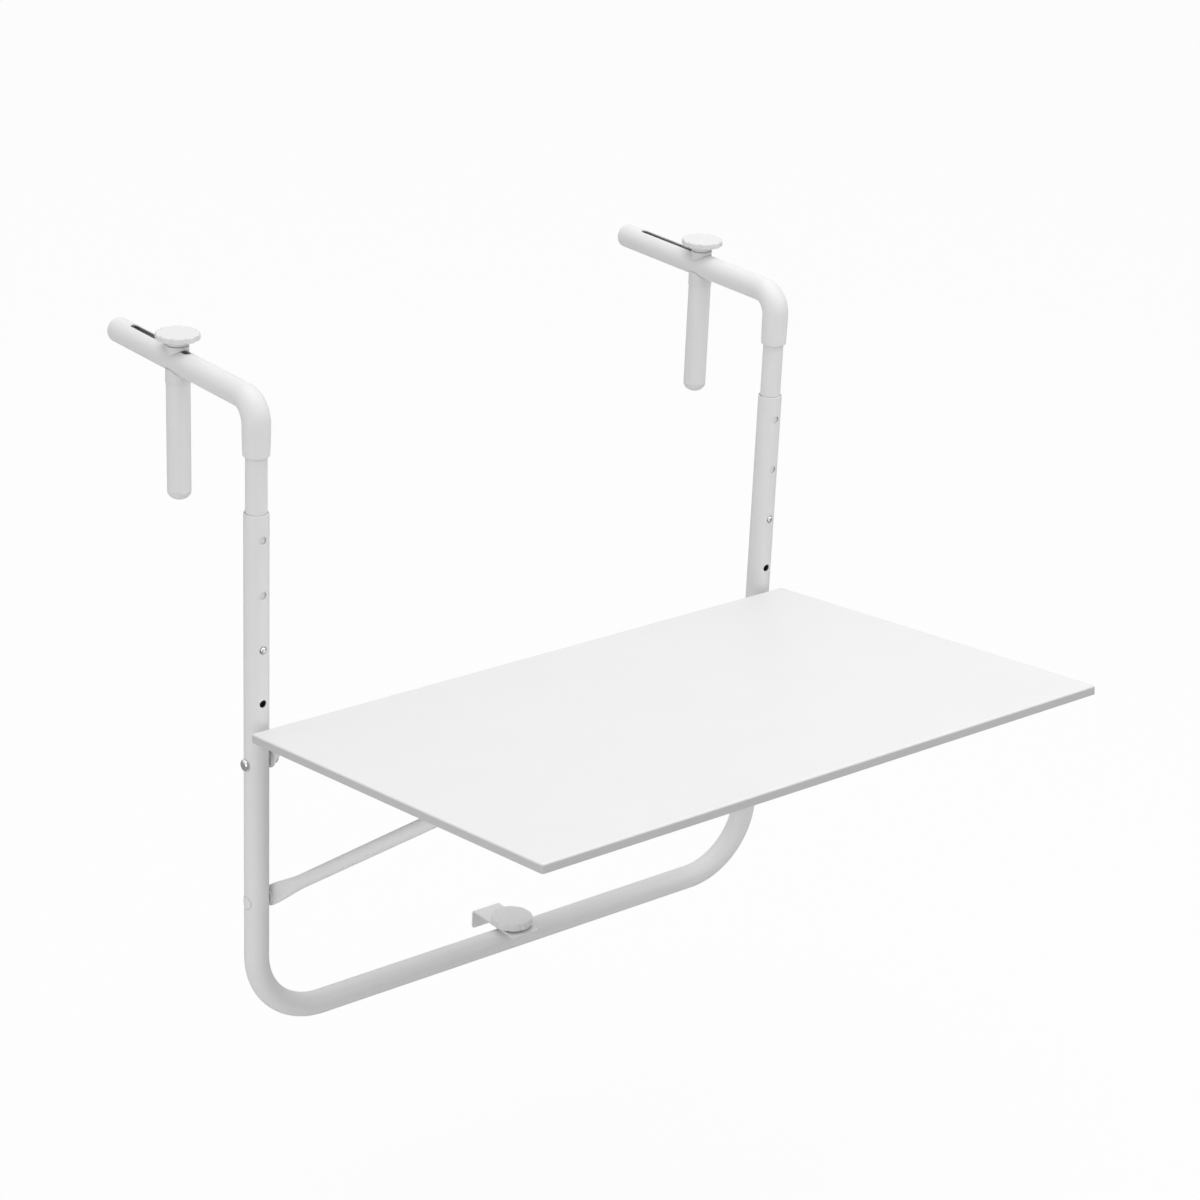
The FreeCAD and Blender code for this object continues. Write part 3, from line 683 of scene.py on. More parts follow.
@dataclass(frozen=True)
class MouldedPlastic(Finish):
    """White moulded plastic: a fine spark-eroded texture and faint flow clouds."""

    light: Triple = (0.8, 0.8, 0.8)
    dark: Triple = (0.76, 0.76, 0.765)
    roughness: float = 0.5
    grains: tuple[Grain, ...] = (Grain(14.0, 3.0, 1.2, tone=1.0, rough=0.05),
                                 Grain(0.35, 2.0, rough=0.12, relief=1.0))
    depth_mm: float = 0.01
    ior: float = 1.49


@dataclass(frozen=True)
class BareSteel(Finish):
    """Uncoated metal with soft clouds and fine scratches."""

    grains: tuple[Grain, ...] = (Grain(6.0, 4.0, tone=0.7, rough=0.2),
                                 Grain(0.25, 3.0, 2.0, tone=0.3, rough=0.1, relief=1.0))
    depth_mm: float = 0.002
    metallic: float = 1.0


class Paintshop:
    """The finishes of the table, one material each."""

    def __init__(self) -> None:
        """Makes every material."""
        self.slots = {
            Slot.STEEL: PowderCoat("white_powder_coat").make(),
            Slot.PLASTIC: MouldedPlastic("white_moulded_plastic").make(),
            Slot.BRIGHT: BareSteel("polished_steel", (0.82, 0.82, 0.82), (0.7, 0.7, 0.71), 0.16).make(),
            Slot.ZINC: BareSteel("zinc_plated_steel", (0.68, 0.69, 0.7), (0.55, 0.56, 0.58), 0.38).make(),
            Slot.SPRING: BareSteel("spring_steel", (0.42, 0.42, 0.43), (0.3, 0.3, 0.32), 0.35).make()}
        # The top's coat has painted shade on its turned-down edges.
        self.sheet = SheetCoatWithPaintedEdgeShade("white_table_top_coat_painted_edge_shade").make()
        inside = BareSteel("bare_tube_inside", (0.56, 0.56, 0.56), (0.42, 0.42, 0.43), 0.6, metallic=0.2)
        self.tube = (self.slots[Slot.STEEL], inside.make())

    def dress_nodes(self, record: Mapping[str, object]) -> None:
        """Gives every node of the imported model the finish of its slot.

        Args:
            record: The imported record.
        """
        slots = {part["node"]: Slot(part["material_slot"]) for part in record["subparts"]}
        for name, node in frame["nodes"].items():
            node.data.materials.clear()
            node.data.materials.append(self.slots[slots[name]])


@dataclass(frozen=True)
class Layout:
    """Sizes that several sub-assemblies share, in millimetres."""

    post_x: float = 283.8
    post_r: float = 11.0
    post_wall: float = 1.2
    rim_z: float = -86.4
    rail_z: float = -575.2
    hole_r: float = 3.2
    post_hole_r: float = 3.5
    holes_z: tuple[float, ...] = (-108.4, -158.4, -208.4, -258.4)
    hole_band: float = 6.0
    button_z: float = -208.4
    arm_z: float = 11.15
    hook_r: float = 11.15
    inner_r: float = 9.4
    clamps_y: tuple[float, float] = (123.0, 109.5)
    hinge_z: float = -317.5
    stay_z: float = -451.5
    stay_r: float = 6.2
    stay_flat: float = 2.8
    pivot_r: float = 3.05
    ear_thick: float = 2.0
    top_back: tuple[float, float] = (-16.2, -280.0)
    top_slope: float = 7.26
    knob_r: float = 19.3
    stud_bore: float = 3.25
    plug_wall: float = 2.0
    spigot: float = 14.0
    fit: float = 0.05
    soft_edge: float = 0.25


@dataclass
class Assembly:
    """What every sub-assembly has: the shared sizes, the finishes and a way to hand over its pieces."""

    lay: Layout
    paint: Paintshop

    def hand_over(self, piece: Workpiece, name: str, body: str, slot: Slot, node: str) -> None:
        """Smooths a piece, paints it unless it is painted, and lets it ride in a node's place.

        Args:
            piece: The piece.
            name: Its name.
            body: The body that it moves with.
            slot: The record's material slot.
            node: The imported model's node that it replaces.
        """
        if not any(piece.obj.data.materials):
            piece.paint(self.paint.slots[slot])
        piece.obj.name = piece.obj.data.name = name
        piece.alone()
        bpy.ops.object.shade_smooth_by_angle(angle=math.radians(32.0))
        piece.modify("WEIGHTED_NORMAL", keep_sharp=True, weight=50).clear_bench()
        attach(piece.obj, body)
        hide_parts(node)
        LOG.info("%s: %d faces, rides on %s", name, len(piece.obj.data.polygons), body)

    def hand_over_both(self, piece: Workpiece, step: Triple, name: str, body: str, slot: Slot,
                       node: str) -> None:
        """Hands over a left piece, and its copy as the right one.

        Args:
            piece: The left piece.
            step: Way to the right one, in millimetres.
            name: The pieces' name, without the side, as in what follows.
            body: The bodies that they move with.
            slot: The record's material slot.
            node: The nodes that they replace.
        """
        for side, made in ((Side.LEFT, piece), (Side.RIGHT, piece.copy(step))):
            word = side.word + "_"
            self.hand_over(made, word + name, word + body, slot, word + node)


@dataclass
class BentFrame(Assembly):
    """Both posts and the bottom rail: one tube, bent twice and drilled."""

    bend_r: float = 68.0
    bend_steps: int = 40
    rim_round: float = 0.35
    dent_r: tuple[float, float] = (5.7, 6.4)
    dent_depth: float = 0.55

    def build(self) -> None:
        """Draws the tube down one post, along the rail and up the other, then drills it."""
        lay = self.lay
        middle, low = lay.post_x - self.bend_r, lay.rail_z + self.bend_r
        bands = [z + step for z in (*lay.holes_z, lay.stay_z) for step in (lay.hole_band, -lay.hole_band)]
        levels = (lay.rim_z, *bands, low)
        tube = Workpiece.circle(lay.post_r, (-lay.post_x, 0, lay.rim_z), UP).run(UP, *levels)
        tube.spin(90, (-middle, 0, low), TO_SEAT, self.bend_steps).extrude((2 * middle, 0, 0))
        tube.spin(90, (middle, 0, low), TO_SEAT, self.bend_steps).run(UP, *levels[::-1])
        tube.outward().paint(*self.paint.tube).wall(lay.post_wall)
        for side in Side:
            for z in lay.holes_z:
                start = (side.value * lay.post_x, 0, z)
                tube.cut(Workpiece.bar(lay.post_hole_r, start, TO_SEAT, lay.post_r + 2))
            tube.cut(self.rivet_dent(side))
        tube.edit().pick_edges(lambda a, b: near(a.z, lay.rim_z) and near(b.z, lay.rim_z)
                               and abs(self.off_axis(a) - self.off_axis(b)) < HAIR)
        tube.bevel(self.rim_round, 3)
        self.hand_over(tube, "bent_frame_tube", "frame", Slot.STEEL, "u_frame")

    def off_axis(self, point: Vector) -> float:
        """How far a point lies from its post's axis, in metres."""
        return math.hypot(abs(point.x) - self.lay.post_x * MM, point.y)

    def rivet_dent(self, side: Side) -> Workpiece:
        """Shallow ring that a pressed rivet head leaves in its post.

        Args:
            side: Which post.

        Returns:
            The cutter, in object mode.
        """
        lay, (inner, outer) = self.lay, self.dent_r
        x, z = side.value * lay.post_x, lay.stay_z
        ring = Workpiece.lathe((x + side.value * 7, 0, z), side.outward,
                               [(inner, 0.0), (outer, 0.0), (outer, 6.0), (inner, 6.0)], closed=True)
        return ring.cut(Workpiece.through(lay.post_r - self.dent_depth, (x, 0, z), UP))


@dataclass
class Hook(Assembly):
    """The hooks, each with the tube that telescopes into its post and a sprung button."""

    bend_r: float = 20.0
    bend_wide: float = 12.6
    bend_steps: int = 28
    wall: float = 1.0
    arm_length: float = 221.0
    sleeve: tuple[Triple, ...] = ((11.5, 11.5, -36.0), (11.7, 11.5, -33.0), (12.1, 11.4, -26.0),
                                  (12.35, 11.3, -18.0), (12.55, 11.2, -12.0), (12.6, 11.15, -10.2))
    mouth_round: float = 0.85
    crease: float = 0.5
    crease_from: float = 4.0
    slot_y: tuple[float, float] = (104.5, 198.0)
    slot_band: float = 4.0
    inner_z: tuple[float, float] = (-12.0, -230.0)
    plug_dome: float = 6.0
    plug_angles: tuple[float, ...] = (78, 66, 54, 43, 33, 24, 16, 9)
    button_front: float = 7.22
    button_out: float = 1.6

    @property
    def bend_z(self) -> float:
        """Height at which the bend starts."""
        return self.lay.arm_z - self.bend_r

    def build(self) -> None:
        """Models the left hook's pieces, and hands each over with its copy on the right."""
        step = (2 * self.lay.post_x, 0, 0)
        self.hand_over_both(self.hook_tube(), step, "hook_bar", "hook", Slot.STEEL, "hook_tube")
        self.hand_over_both(self.inner_tube(), step, "height_tube", "hook", Slot.STEEL, "inner_tube")
        self.hand_over_both(self.arm_plug(), step, "arm_end_plug", "hook", Slot.PLASTIC, "arm_plug")
        self.hand_over_both(self.button(), step, "height_button", "button", Slot.BRIGHT, "snap_button")

    def hook_tube(self) -> Workpiece:
        """Sleeve drawn in at its mouth, tight bend that spreads the tube sideways, and slotted arm.

        Returns:
            The left tube.
        """
        lay = self.lay
        x, (mouth_r, _, mouth) = -lay.post_x, self.sleeve[0]
        tube = Workpiece.circle(mouth_r, (x, 0, mouth), UP)
        rings = (*self.sleeve, (self.bend_wide, lay.hook_r, self.bend_z))
        for (wide, deep, z), (next_wide, next_deep, next_z) in zip(rings, rings[1:]):
            tube.extrude((0, 0, next_z - z))
            tube.resize((next_wide / wide, next_deep / deep, 1), (x, 0, next_z))
        tube.spin(90, (x, self.bend_r, self.bend_z), LEFTWARDS, self.bend_steps)
        first, last = self.slot_y
        tube.run(TO_RAILING, self.bend_r, first - self.slot_band, last + self.slot_band, self.arm_length)
        self.narrow_bend(tube)
        tube.pick(Element.POINTS, lambda v: near(v.co.z, self.bend_z) and v.co.y > self.crease_from * MM)
        tube.move((0, -self.crease, 0)).outward().paint(*self.paint.tube).wall(self.wall)
        ends = (first + lay.stud_bore, last - lay.stud_bore)
        tube.cut(Workpiece.slot_bar(x, ends, lay.stud_bore, -2, 2 * lay.arm_z + 4))
        rim = (mouth_r - 0.5 * self.wall) * MM
        tube.edit().pick_edges(lambda a, b: near(a.z, mouth) and near(b.z, mouth)
                               and min(math.hypot(end.x - x * MM, end.y) for end in (a, b)) > rim)
        return tube.bevel(self.mouth_round, 5)

    def narrow_bend(self, tube: Workpiece) -> None:
        """Draws the spread bend back to the arm's round section, ring by ring.

        Args:
            tube: The left tube, as wide all along as at the start of its bend.
        """
        x, last = -self.lay.post_x, self.lay.hook_r / self.bend_wide

        def along(point: Vector) -> float:
            """How far round the bend a point lies, in radians."""
            return math.atan2(point.z - self.bend_z * MM, self.bend_r * MM - point.y)

        for step in range(1, self.bend_steps):
            share = step / self.bend_steps
            tube.pick(Element.POINTS, lambda v, at=math.pi / 2 * share: abs(along(v.co) - at) < 1e-3)
            tube.resize((1 + (last - 1) * share ** 3, 1, 1), (x, 0, 0))
        tube.pick(Element.POINTS,
                  lambda v: v.co.y > (self.bend_r - NEAR_MM) * MM and v.co.z > self.bend_z * MM)
        tube.resize((last, 1, 1), (x, 0, 0))

    def inner_tube(self) -> Workpiece:
        """Plain tube with one hole for the button.

        Returns:
            The left tube.
        """
        lay, (high, low) = self.lay, self.inner_z
        tube = Workpiece.circle(lay.inner_r, (-lay.post_x, 0, high), UP)
        tube.run(UP, high, lay.button_z + lay.hole_band, lay.button_z - lay.hole_band, low)
        tube.outward().paint(*self.paint.tube).wall(self.wall)
        return tube.cut(Workpiece.bar(lay.hole_r, (-lay.post_x, 0, lay.button_z), TO_SEAT, lay.inner_r + 2))

    def arm_plug(self) -> Workpiece:
        """Domed plug in the arm's end.

        Returns:
            The left plug.
        """
        lay, r, dome = self.lay, self.lay.hook_r, self.plug_dome
        bore = r - self.wall - lay.fit
        hollow = bore - lay.plug_wall
        profile = [(0.0, dome), *(polar(r, dome, angle) for angle in self.plug_angles),
                   (r, 0.5), (r, 0.0, 0.2), (bore, 0.0), (bore, -lay.spigot, 0.5),
                   (hollow, -lay.spigot), (hollow, -1.0), (0.0, -1.0)]
        return Workpiece.lathe((-lay.post_x, self.arm_length, lay.arm_z), TO_RAILING, profile)

    def button(self) -> Workpiece:
        """Domed button with its flange behind the tube wall.

        Returns:
            The left button.
        """
        front, tip = self.button_front, self.lay.post_r + self.button_out
        profile = [(0.0, tip), (0.75, tip - 0.03), (1.45, tip - 0.22), (2.05, tip - 0.55), (2.52, tip - 1.0),
                   (2.85, tip - 1.6), (3.0, tip - 2.3), (3.0, front), (4.2, front, 0.15),
                   (4.2, front - 0.8, 0.15), (1.2, front - 0.8), (1.2, front - 1.3),
                   (1.9, front - 1.3, 0.1), (1.9, front - 1.9, 0.2), (0.0, front - 1.9)]
        return Workpiece.lathe((-self.lay.post_x, 0, self.lay.button_z), TO_SEAT, profile, sides=48)


@dataclass
class LobedKnob:
    """A hand knob with notches round its rim, hollow and ribbed below, moulded round its stud."""

    radius: float
    seat: Triple
    neck_h: float
    height: float = 7.2
    pocket_depth: float = 4.4
    notch_depth: float = 1.4
    notch_r: float = 1.8
    lobes: int = 10
    first_notch: float = 6.9
    neck_r: float = 9.5
    foot_r: float = 7.6
    foot_h: float = 0.9
    skirt_wall: float = 2.6
    ribs: int = 5
    rib_thick: float = 1.4
    overlap: float = 3.0

    def build(self) -> Workpiece:
        """Models the knob standing on its seat.

        Returns:
            The knob, in object mode.
        """
        x, y, seat = self.seat
        low = seat + self.neck_h
        high = low + self.height
        knob = self.lobed_outline(low).draw_out((0, 0, self.height))
        rim = (self.radius - self.notch_depth - 0.5) * MM
        for level, width, steps in ((high, 1.4, 5), (low, 0.7, 3)):
            knob.pick_edges(lambda a, b, at=level: near(a.z, at) and near(b.z, at)
                            and math.hypot(a.x - x * MM, a.y - y * MM) > rim)
            knob.bevel(width, steps)
        knob.cut(self.pocket(low))
        top = self.neck_h + self.overlap
        neck = Workpiece.lathe(self.seat, UP,
                               [(0.0, 0.0), (self.foot_r, 0.0, 0.2), (self.foot_r, self.foot_h),
                                (self.neck_r, self.foot_h, 0.2), (self.neck_r, top), (0.0, top)])
        return knob.cut(neck, "UNION")

    def lobed_outline(self, z: float) -> Workpiece:
        """The notched outline: one lobe and one notch, then copies round the axis.

        Args:
            z: Its height in millimetres.

        Returns:
            The outline, in edit mode with all of it selected.
        """
        x, y, _ = self.seat
        pitch = 360.0 / self.lobes
        reach = self.radius + self.notch_r - self.notch_depth
        share = math.degrees(math.acos((self.radius ** 2 + reach ** 2 - self.notch_r ** 2)
                                       / (2 * self.radius * reach)))
        hollow = math.degrees(math.asin(self.radius * math.sin(math.radians(share)) / self.notch_r))
        first_x, first_y = polar(self.radius, self.radius, self.first_notch - pitch + share)
        notch_x, notch_y = polar(reach, reach, self.first_notch)
        outline = Workpiece.trace([Vector((x + first_x, y + first_y, z))])
        outline.spin(pitch - 2 * share, (x, y, z), UP, 6)
        outline.spin(-2 * hollow, (x + notch_x, y + notch_y, z), UP, 9).everything()
        bpy.ops.mesh.spin(steps=self.lobes, dupli=True, angle=2 * math.pi, center=mm((x, y, z)), axis=UP)
        return outline.everything().weld(5 * HAIR)

    def pocket(self, low: float) -> Workpiece:
        """The hollow under the knob between its ribs.

        Args:
            low: Height of the knob's underside, in millimetres.

        Returns:
            The cutter, in object mode.
        """
        x, y, _ = self.seat
        skirt, deep = self.radius - self.notch_depth - self.skirt_wall, self.pocket_depth
        hollow = Workpiece.lathe((x, y, low), UP, [(self.neck_r, -1.0), (skirt, -1.0), (skirt, deep, 0.6),
                                                   (self.neck_r, deep, 0.6)], closed=True)
        for index in range(self.ribs):
            angle = 2 * math.pi * index / self.ribs
            out = Vector((math.cos(angle), math.sin(angle), 0))
            across = Vector((-math.sin(angle), math.cos(angle), 0)) * (self.rib_thick / 2)
            near_end, far_end = (Vector((x, y, low - 2)) + out * r for r in (self.neck_r - 2, skirt + 2))
            corners = [near_end - across, far_end - across, far_end + across, near_end + across]
            hollow.cut(Workpiece.trace(corners, closed=True).draw_out((0, 0, deep + 4)))
        return hollow


@dataclass
class Clamp(Assembly):
    """The handrail clamps: knob and spacer over the arm, saddle, pin and cap under it."""

    spacer_r: float = 9.75
    spacer_top: float = 25.2
    knob_low: float = 31.2
    knob_h: float = 5.3
    knob_hollow: float = 3.1
    saddle_r: float = 11.0
    saddle_low: float = -8.2
    saddle_high: float = 5.2
    pin_r: float = 10.5
    pin_wall: float = 1.2
    pin_low: float = -106.2
    cap_ring: float = 0.3
    cap_tip: float = -114.5
    gap: float = 0.3

    @property
    def place(self) -> Triple:
        """Where the left clamp's axis stands."""
        return (-self.lay.post_x, self.lay.clamps_y[0], 0.0)

    def build(self) -> None:
        """Models the left clamp's pieces, and hands each over with its copy on the right."""
        x, y, _ = self.place
        step = (-2 * x, self.lay.clamps_y[1] - y, 0)
        knob = LobedKnob(self.lay.knob_r, (x, y, self.spacer_top), self.knob_low - self.spacer_top,
                         self.knob_h, self.knob_hollow)
        self.hand_over_both(knob.build(), step, "clamp_hand_knob", "knob", Slot.PLASTIC, "clamp_knob")
        for piece, name, slot, node in (
                (self.spacer(), "clamp_distance_piece", Slot.PLASTIC, "clamp_spacer"),
                (self.saddle(), "clamp_saddle_plug", Slot.PLASTIC, "clamp_saddle"),
                (self.pin(), "clamp_pin_tube", Slot.STEEL, "clamp_pin"),
                (self.cap(), "pin_end_cap", Slot.PLASTIC, "pin_cap")):
            self.hand_over_both(piece, step, name, "clamp", slot, node)

    def on_arm(self, profile: Profile, radius: float) -> Workpiece:
        """Turns a ring and hollows it to sit against the arm, with a soft edge.

        Args:
            profile: The ring's section.
            radius: The radius of its outside, where the hollow meets it.

        Returns:
            The piece, in edit mode.
        """
        x, y, _ = self.place
        reach, arm = self.lay.hook_r + self.gap, self.lay.arm_z
        piece = Workpiece.lathe(self.place, UP, profile, closed=True)
        piece.cut(Workpiece.through(reach, (x, y, arm), TO_RAILING))

        def on_edge(point: Vector) -> bool:
            """Whether a point lies both on the outside and in the hollow."""
            across = point.x - x * MM
            return max(abs(math.hypot(across, point.y - y * MM) - radius * MM),
                       abs(math.hypot(across, point.z - arm * MM) - reach * MM)) < 20 * HAIR

        return piece.edit().pick_edges(lambda a, b: on_edge(a) and on_edge(b)).bevel(self.lay.soft_edge, 2)

    def spacer(self) -> Workpiece:
        """Round spacer under the knob, with a saddle-shaped foot on the arm."""
        low, high, r, bore = self.lay.arm_z + 2, self.spacer_top, self.spacer_r, self.lay.stud_bore
        return self.on_arm([(bore, low), (r, low), (r, high, 0.4), (bore, high)], r)

    def saddle(self) -> Workpiece:
        """Plug in the top of the pin, hollowed above to sit against the arm.

        Returns:
            The left saddle.
        """
        low, high, r, bore = self.saddle_low, self.saddle_high, self.saddle_r, self.lay.stud_bore
        spigot, foot = self.pin_r - self.pin_wall - self.lay.fit, low - self.lay.spigot
        return self.on_arm([(bore, foot), (spigot, foot, 0.5), (spigot, low), (r, low, 0.35),
                            (r, high, 0.3), (bore, high)], r)

    def pin(self) -> Workpiece:
        """Tube that hangs behind the handrail.

        Returns:
            The left pin.
        """
        low, high, r, bore = self.pin_low, self.saddle_low, self.pin_r, self.pin_r - self.pin_wall
        profile = [(bore, low), (r, low, 0.25), (r, high, 0.25), (bore, high)]
        return Workpiece.lathe(self.place, UP, profile, closed=True)

    def cap(self) -> Workpiece:
        """Plug with a rounded nose in the pin's lower end.

        Returns:
            The left cap.
        """
        low, ring, r = self.pin_low, self.pin_low - self.cap_ring, self.pin_r
        spigot, head = r - self.pin_wall - self.lay.fit, low + self.lay.spigot
        hollow = spigot - self.lay.plug_wall
        nose = [polar(r, self.cap_tip - ring, angle) for angle in range(6, 90, 6)]
        profile = [(0.0, low + 1), (hollow, low + 1), (hollow, head), (spigot, head, 0.5),
                   (spigot, low), (r, low, 0.2), (r, ring),
                   *((radius, ring + drop) for radius, drop in nose), (0.0, self.cap_tip)]
        return Workpiece.lathe(self.place, UP, profile)


@dataclass
class Top(Assembly):
    """The table top: a tray of folded sheet, its hinge ears and the catch strip under it.

    Its pieces are drawn level, their back edge on the X axis, and then set at the top's slope.
    """

    width: float = 600.0
    depth: float = 410.6
    edge: float = 8.0
    sheet: float = 1.2
    corner_r: float = 2.5
    edge_r: float = 2.0
    ear_x: float = 271.8
    ear_length: float = 40.0
    ear_flange: float = 16.0
    ear_tip_r: float = 8.0
    ear_round: float = 0.3
    ear_gap: float = 0.1
    ear_lean: float = 42.0
    ear_back: float = 20.0
    waist: float = 0.62
    waist_sag: tuple[float, float] = (2.6, 8.0)
    heel_h: float = 9.0
    heel_sag: tuple[float, float] = (3.4, 7.5)
    heel_v: float = 12.0
    catch_width: float = 430.0
    catch_lip: float = 4.0
    catch_pad: float = 16.0
    catch_play: float = 3.5
    bar: tuple[float, float] = (-268.66, -255.60)

    def build(self) -> None:
        """Models the tray, both ears and the strip."""
        self.hand_over_sloped(self.tray(), "table_top_tray", "top_panel")
        for side in Side:
            self.hand_over_sloped(self.ear(side), side.word + "_hinge_bracket", side.word + "_hinge_ear")
        self.hand_over_sloped(self.catch(), "stay_catch_angle", "catch_strip")

    def hand_over_sloped(self, piece: Workpiece, name: str, node: str) -> None:
        """Sets a piece at the top's slope and hands it over."""
        piece.place(-self.lay.top_slope, (0, *self.lay.top_back))
        self.hand_over(piece, name, "top", Slot.STEEL, node)

    def on_top(self, y: float, z: float) -> tuple[float, float]:
        """Where a point of the side view lies on the top's own axes.

        Args:
            y: Its place towards the railing, in millimetres.
            z: Its height in millimetres.

        Returns:
            How far it lies forward of the back edge, and below the surface.
        """
        dy, dz = y - self.lay.top_back[0], z - self.lay.top_back[1]
        slope = math.radians(self.lay.top_slope)
        return (-dy * math.cos(slope) + dz * math.sin(slope), -dy * math.sin(slope) - dz * math.cos(slope))

    def tray(self) -> Workpiece:
        """Flat top with rounded corners and turned-down edges, open below.

        Returns:
            The tray, in edit mode.
        """
        tray = Workpiece.block((self.width, self.depth, self.edge), (0, -self.depth / 2, -self.edge / 2))
        tray.pick_edges(lambda a, b: abs(a.z - b.z) > 100 * HAIR).bevel(self.corner_r, 8)
        tray.pick(Element.FACES, lambda face: face.normal.z < -0.9)
        bpy.ops.mesh.delete(type="FACE")
        tray.pick_edges(lambda a, b: near(a.z, 0) and near(b.z, 0)).bevel(self.edge_r, 6)
        tray.outward().paint(self.paint.sheet).wall(self.sheet)
        tray.edit().pick(Element.EDGES, lambda edge: all(near(v.co.z, -self.edge) for v in edge.verts)
                         and any(abs(face.normal.z) < 0.1 for face in edge.link_faces))
        return tray.bevel(self.lay.soft_edge, 2)

    def ear_outline(self, x: float) -> list[Vector]:
        """Side view of an ear: pad under the sheet, waist, round tip and heel.

        Args:
            x: The plane that it lies in, in millimetres.

        Returns:
            Its corners, in millimetres.
        """
        hinge_v, hinge_h = self.on_top(0, self.lay.hinge_z)
        tip, lean, back = self.ear_tip_r, math.radians(self.ear_lean), math.radians(self.ear_back)
        front_v, front_h = hinge_v + tip * math.sin(lean), hinge_h + tip * math.cos(lean)
        waist_v = front_v + self.waist * (self.edge - hinge_v)
        waist_h = front_h - self.waist * (front_h - self.edge)
        heel_v, under = hinge_v - tip, self.edge + self.ear_gap
        start_v = self.edge_r + self.ear_gap

        def at(v: float, h: float) -> Vector:
            """A corner, from how far forward and below the surface it lies."""
            return Vector((x, -v, -h))

        points = [at(self.ear_length, self.sheet), at(self.ear_length, self.sheet + self.lay.ear_thick),
                  at(self.ear_length - 3, self.edge - 1), at(self.edge + 3, self.edge - 0.5)]
        points += arc_points(points[-1], at(waist_v + self.waist_sag[0], waist_h - self.waist_sag[1]),
                             at(waist_v, waist_h), 10)
        points.append(at(front_v, front_h))
        points += arc_points(points[-1], at(hinge_v - tip * math.sin(back), hinge_h + tip * math.cos(back)),
                             at(heel_v, hinge_h), 12)
        points.append(at(heel_v, hinge_h - self.heel_h))
        points += arc_points(points[-1], at(heel_v + self.heel_sag[0], under + self.heel_sag[1]),
                             at(heel_v + self.heel_v, under), 8)
        return points + [at(start_v, under), at(start_v, self.sheet)]

    def ear(self, side: Side) -> Workpiece:
        """Angle bracket: a pointed ear down to the hinge bolt, and a flange welded under the sheet.

        Args:
            side: Which end of the top it is at.

        Returns:
            The bracket, in object mode.
        """
        thick, outer = self.lay.ear_thick, side.value * self.ear_x
        inward = -side.value * thick
        plate = Workpiece.trace(self.ear_outline(outer), closed=True).draw_out((inward, 0, 0))
        hinge_v, hinge_h = self.on_top(0, self.lay.hinge_z)
        start = (outer - inward, -hinge_v, -hinge_h)
        plate.cut(Workpiece.bar(self.lay.pivot_r, start, side.inward, 3 * thick))
        back, wide = self.edge_r + self.ear_gap, self.ear_flange - thick
        flange = Workpiece.block((wide, self.ear_length - back, thick),
                                 (outer - side.value * (thick + wide / 2), -(self.ear_length + back) / 2,
                                  -self.sheet - thick / 2))
        flange.pick_edges(lambda a, b: True).bevel(self.ear_round, 2)
        plate.edit().pick_folds().bevel(self.ear_round, 2)
        return plate.join(flange)

    def catch(self) -> Workpiece:
        """Angle strip whose lip stops the stay's cross bar.

        Returns:
            The strip, in edit mode.
        """
        bar_v, _ = self.on_top(*self.bar)
        lip = bar_v + self.lay.stay_r + self.catch_play
        low, high, end = self.sheet, 2 * self.sheet, lip + self.catch_pad
        corners = [(lip, low), (lip, low + self.catch_lip), (lip + self.sheet, low + self.catch_lip),
                   (lip + self.sheet, high), (end, high), (end, low)]
        strip = Workpiece.trace([Vector((-self.catch_width / 2, -v, -h)) for v, h in corners], closed=True)
        return strip.draw_out((self.catch_width, 0, 0)).pick_folds().bevel(self.lay.soft_edge, 2)


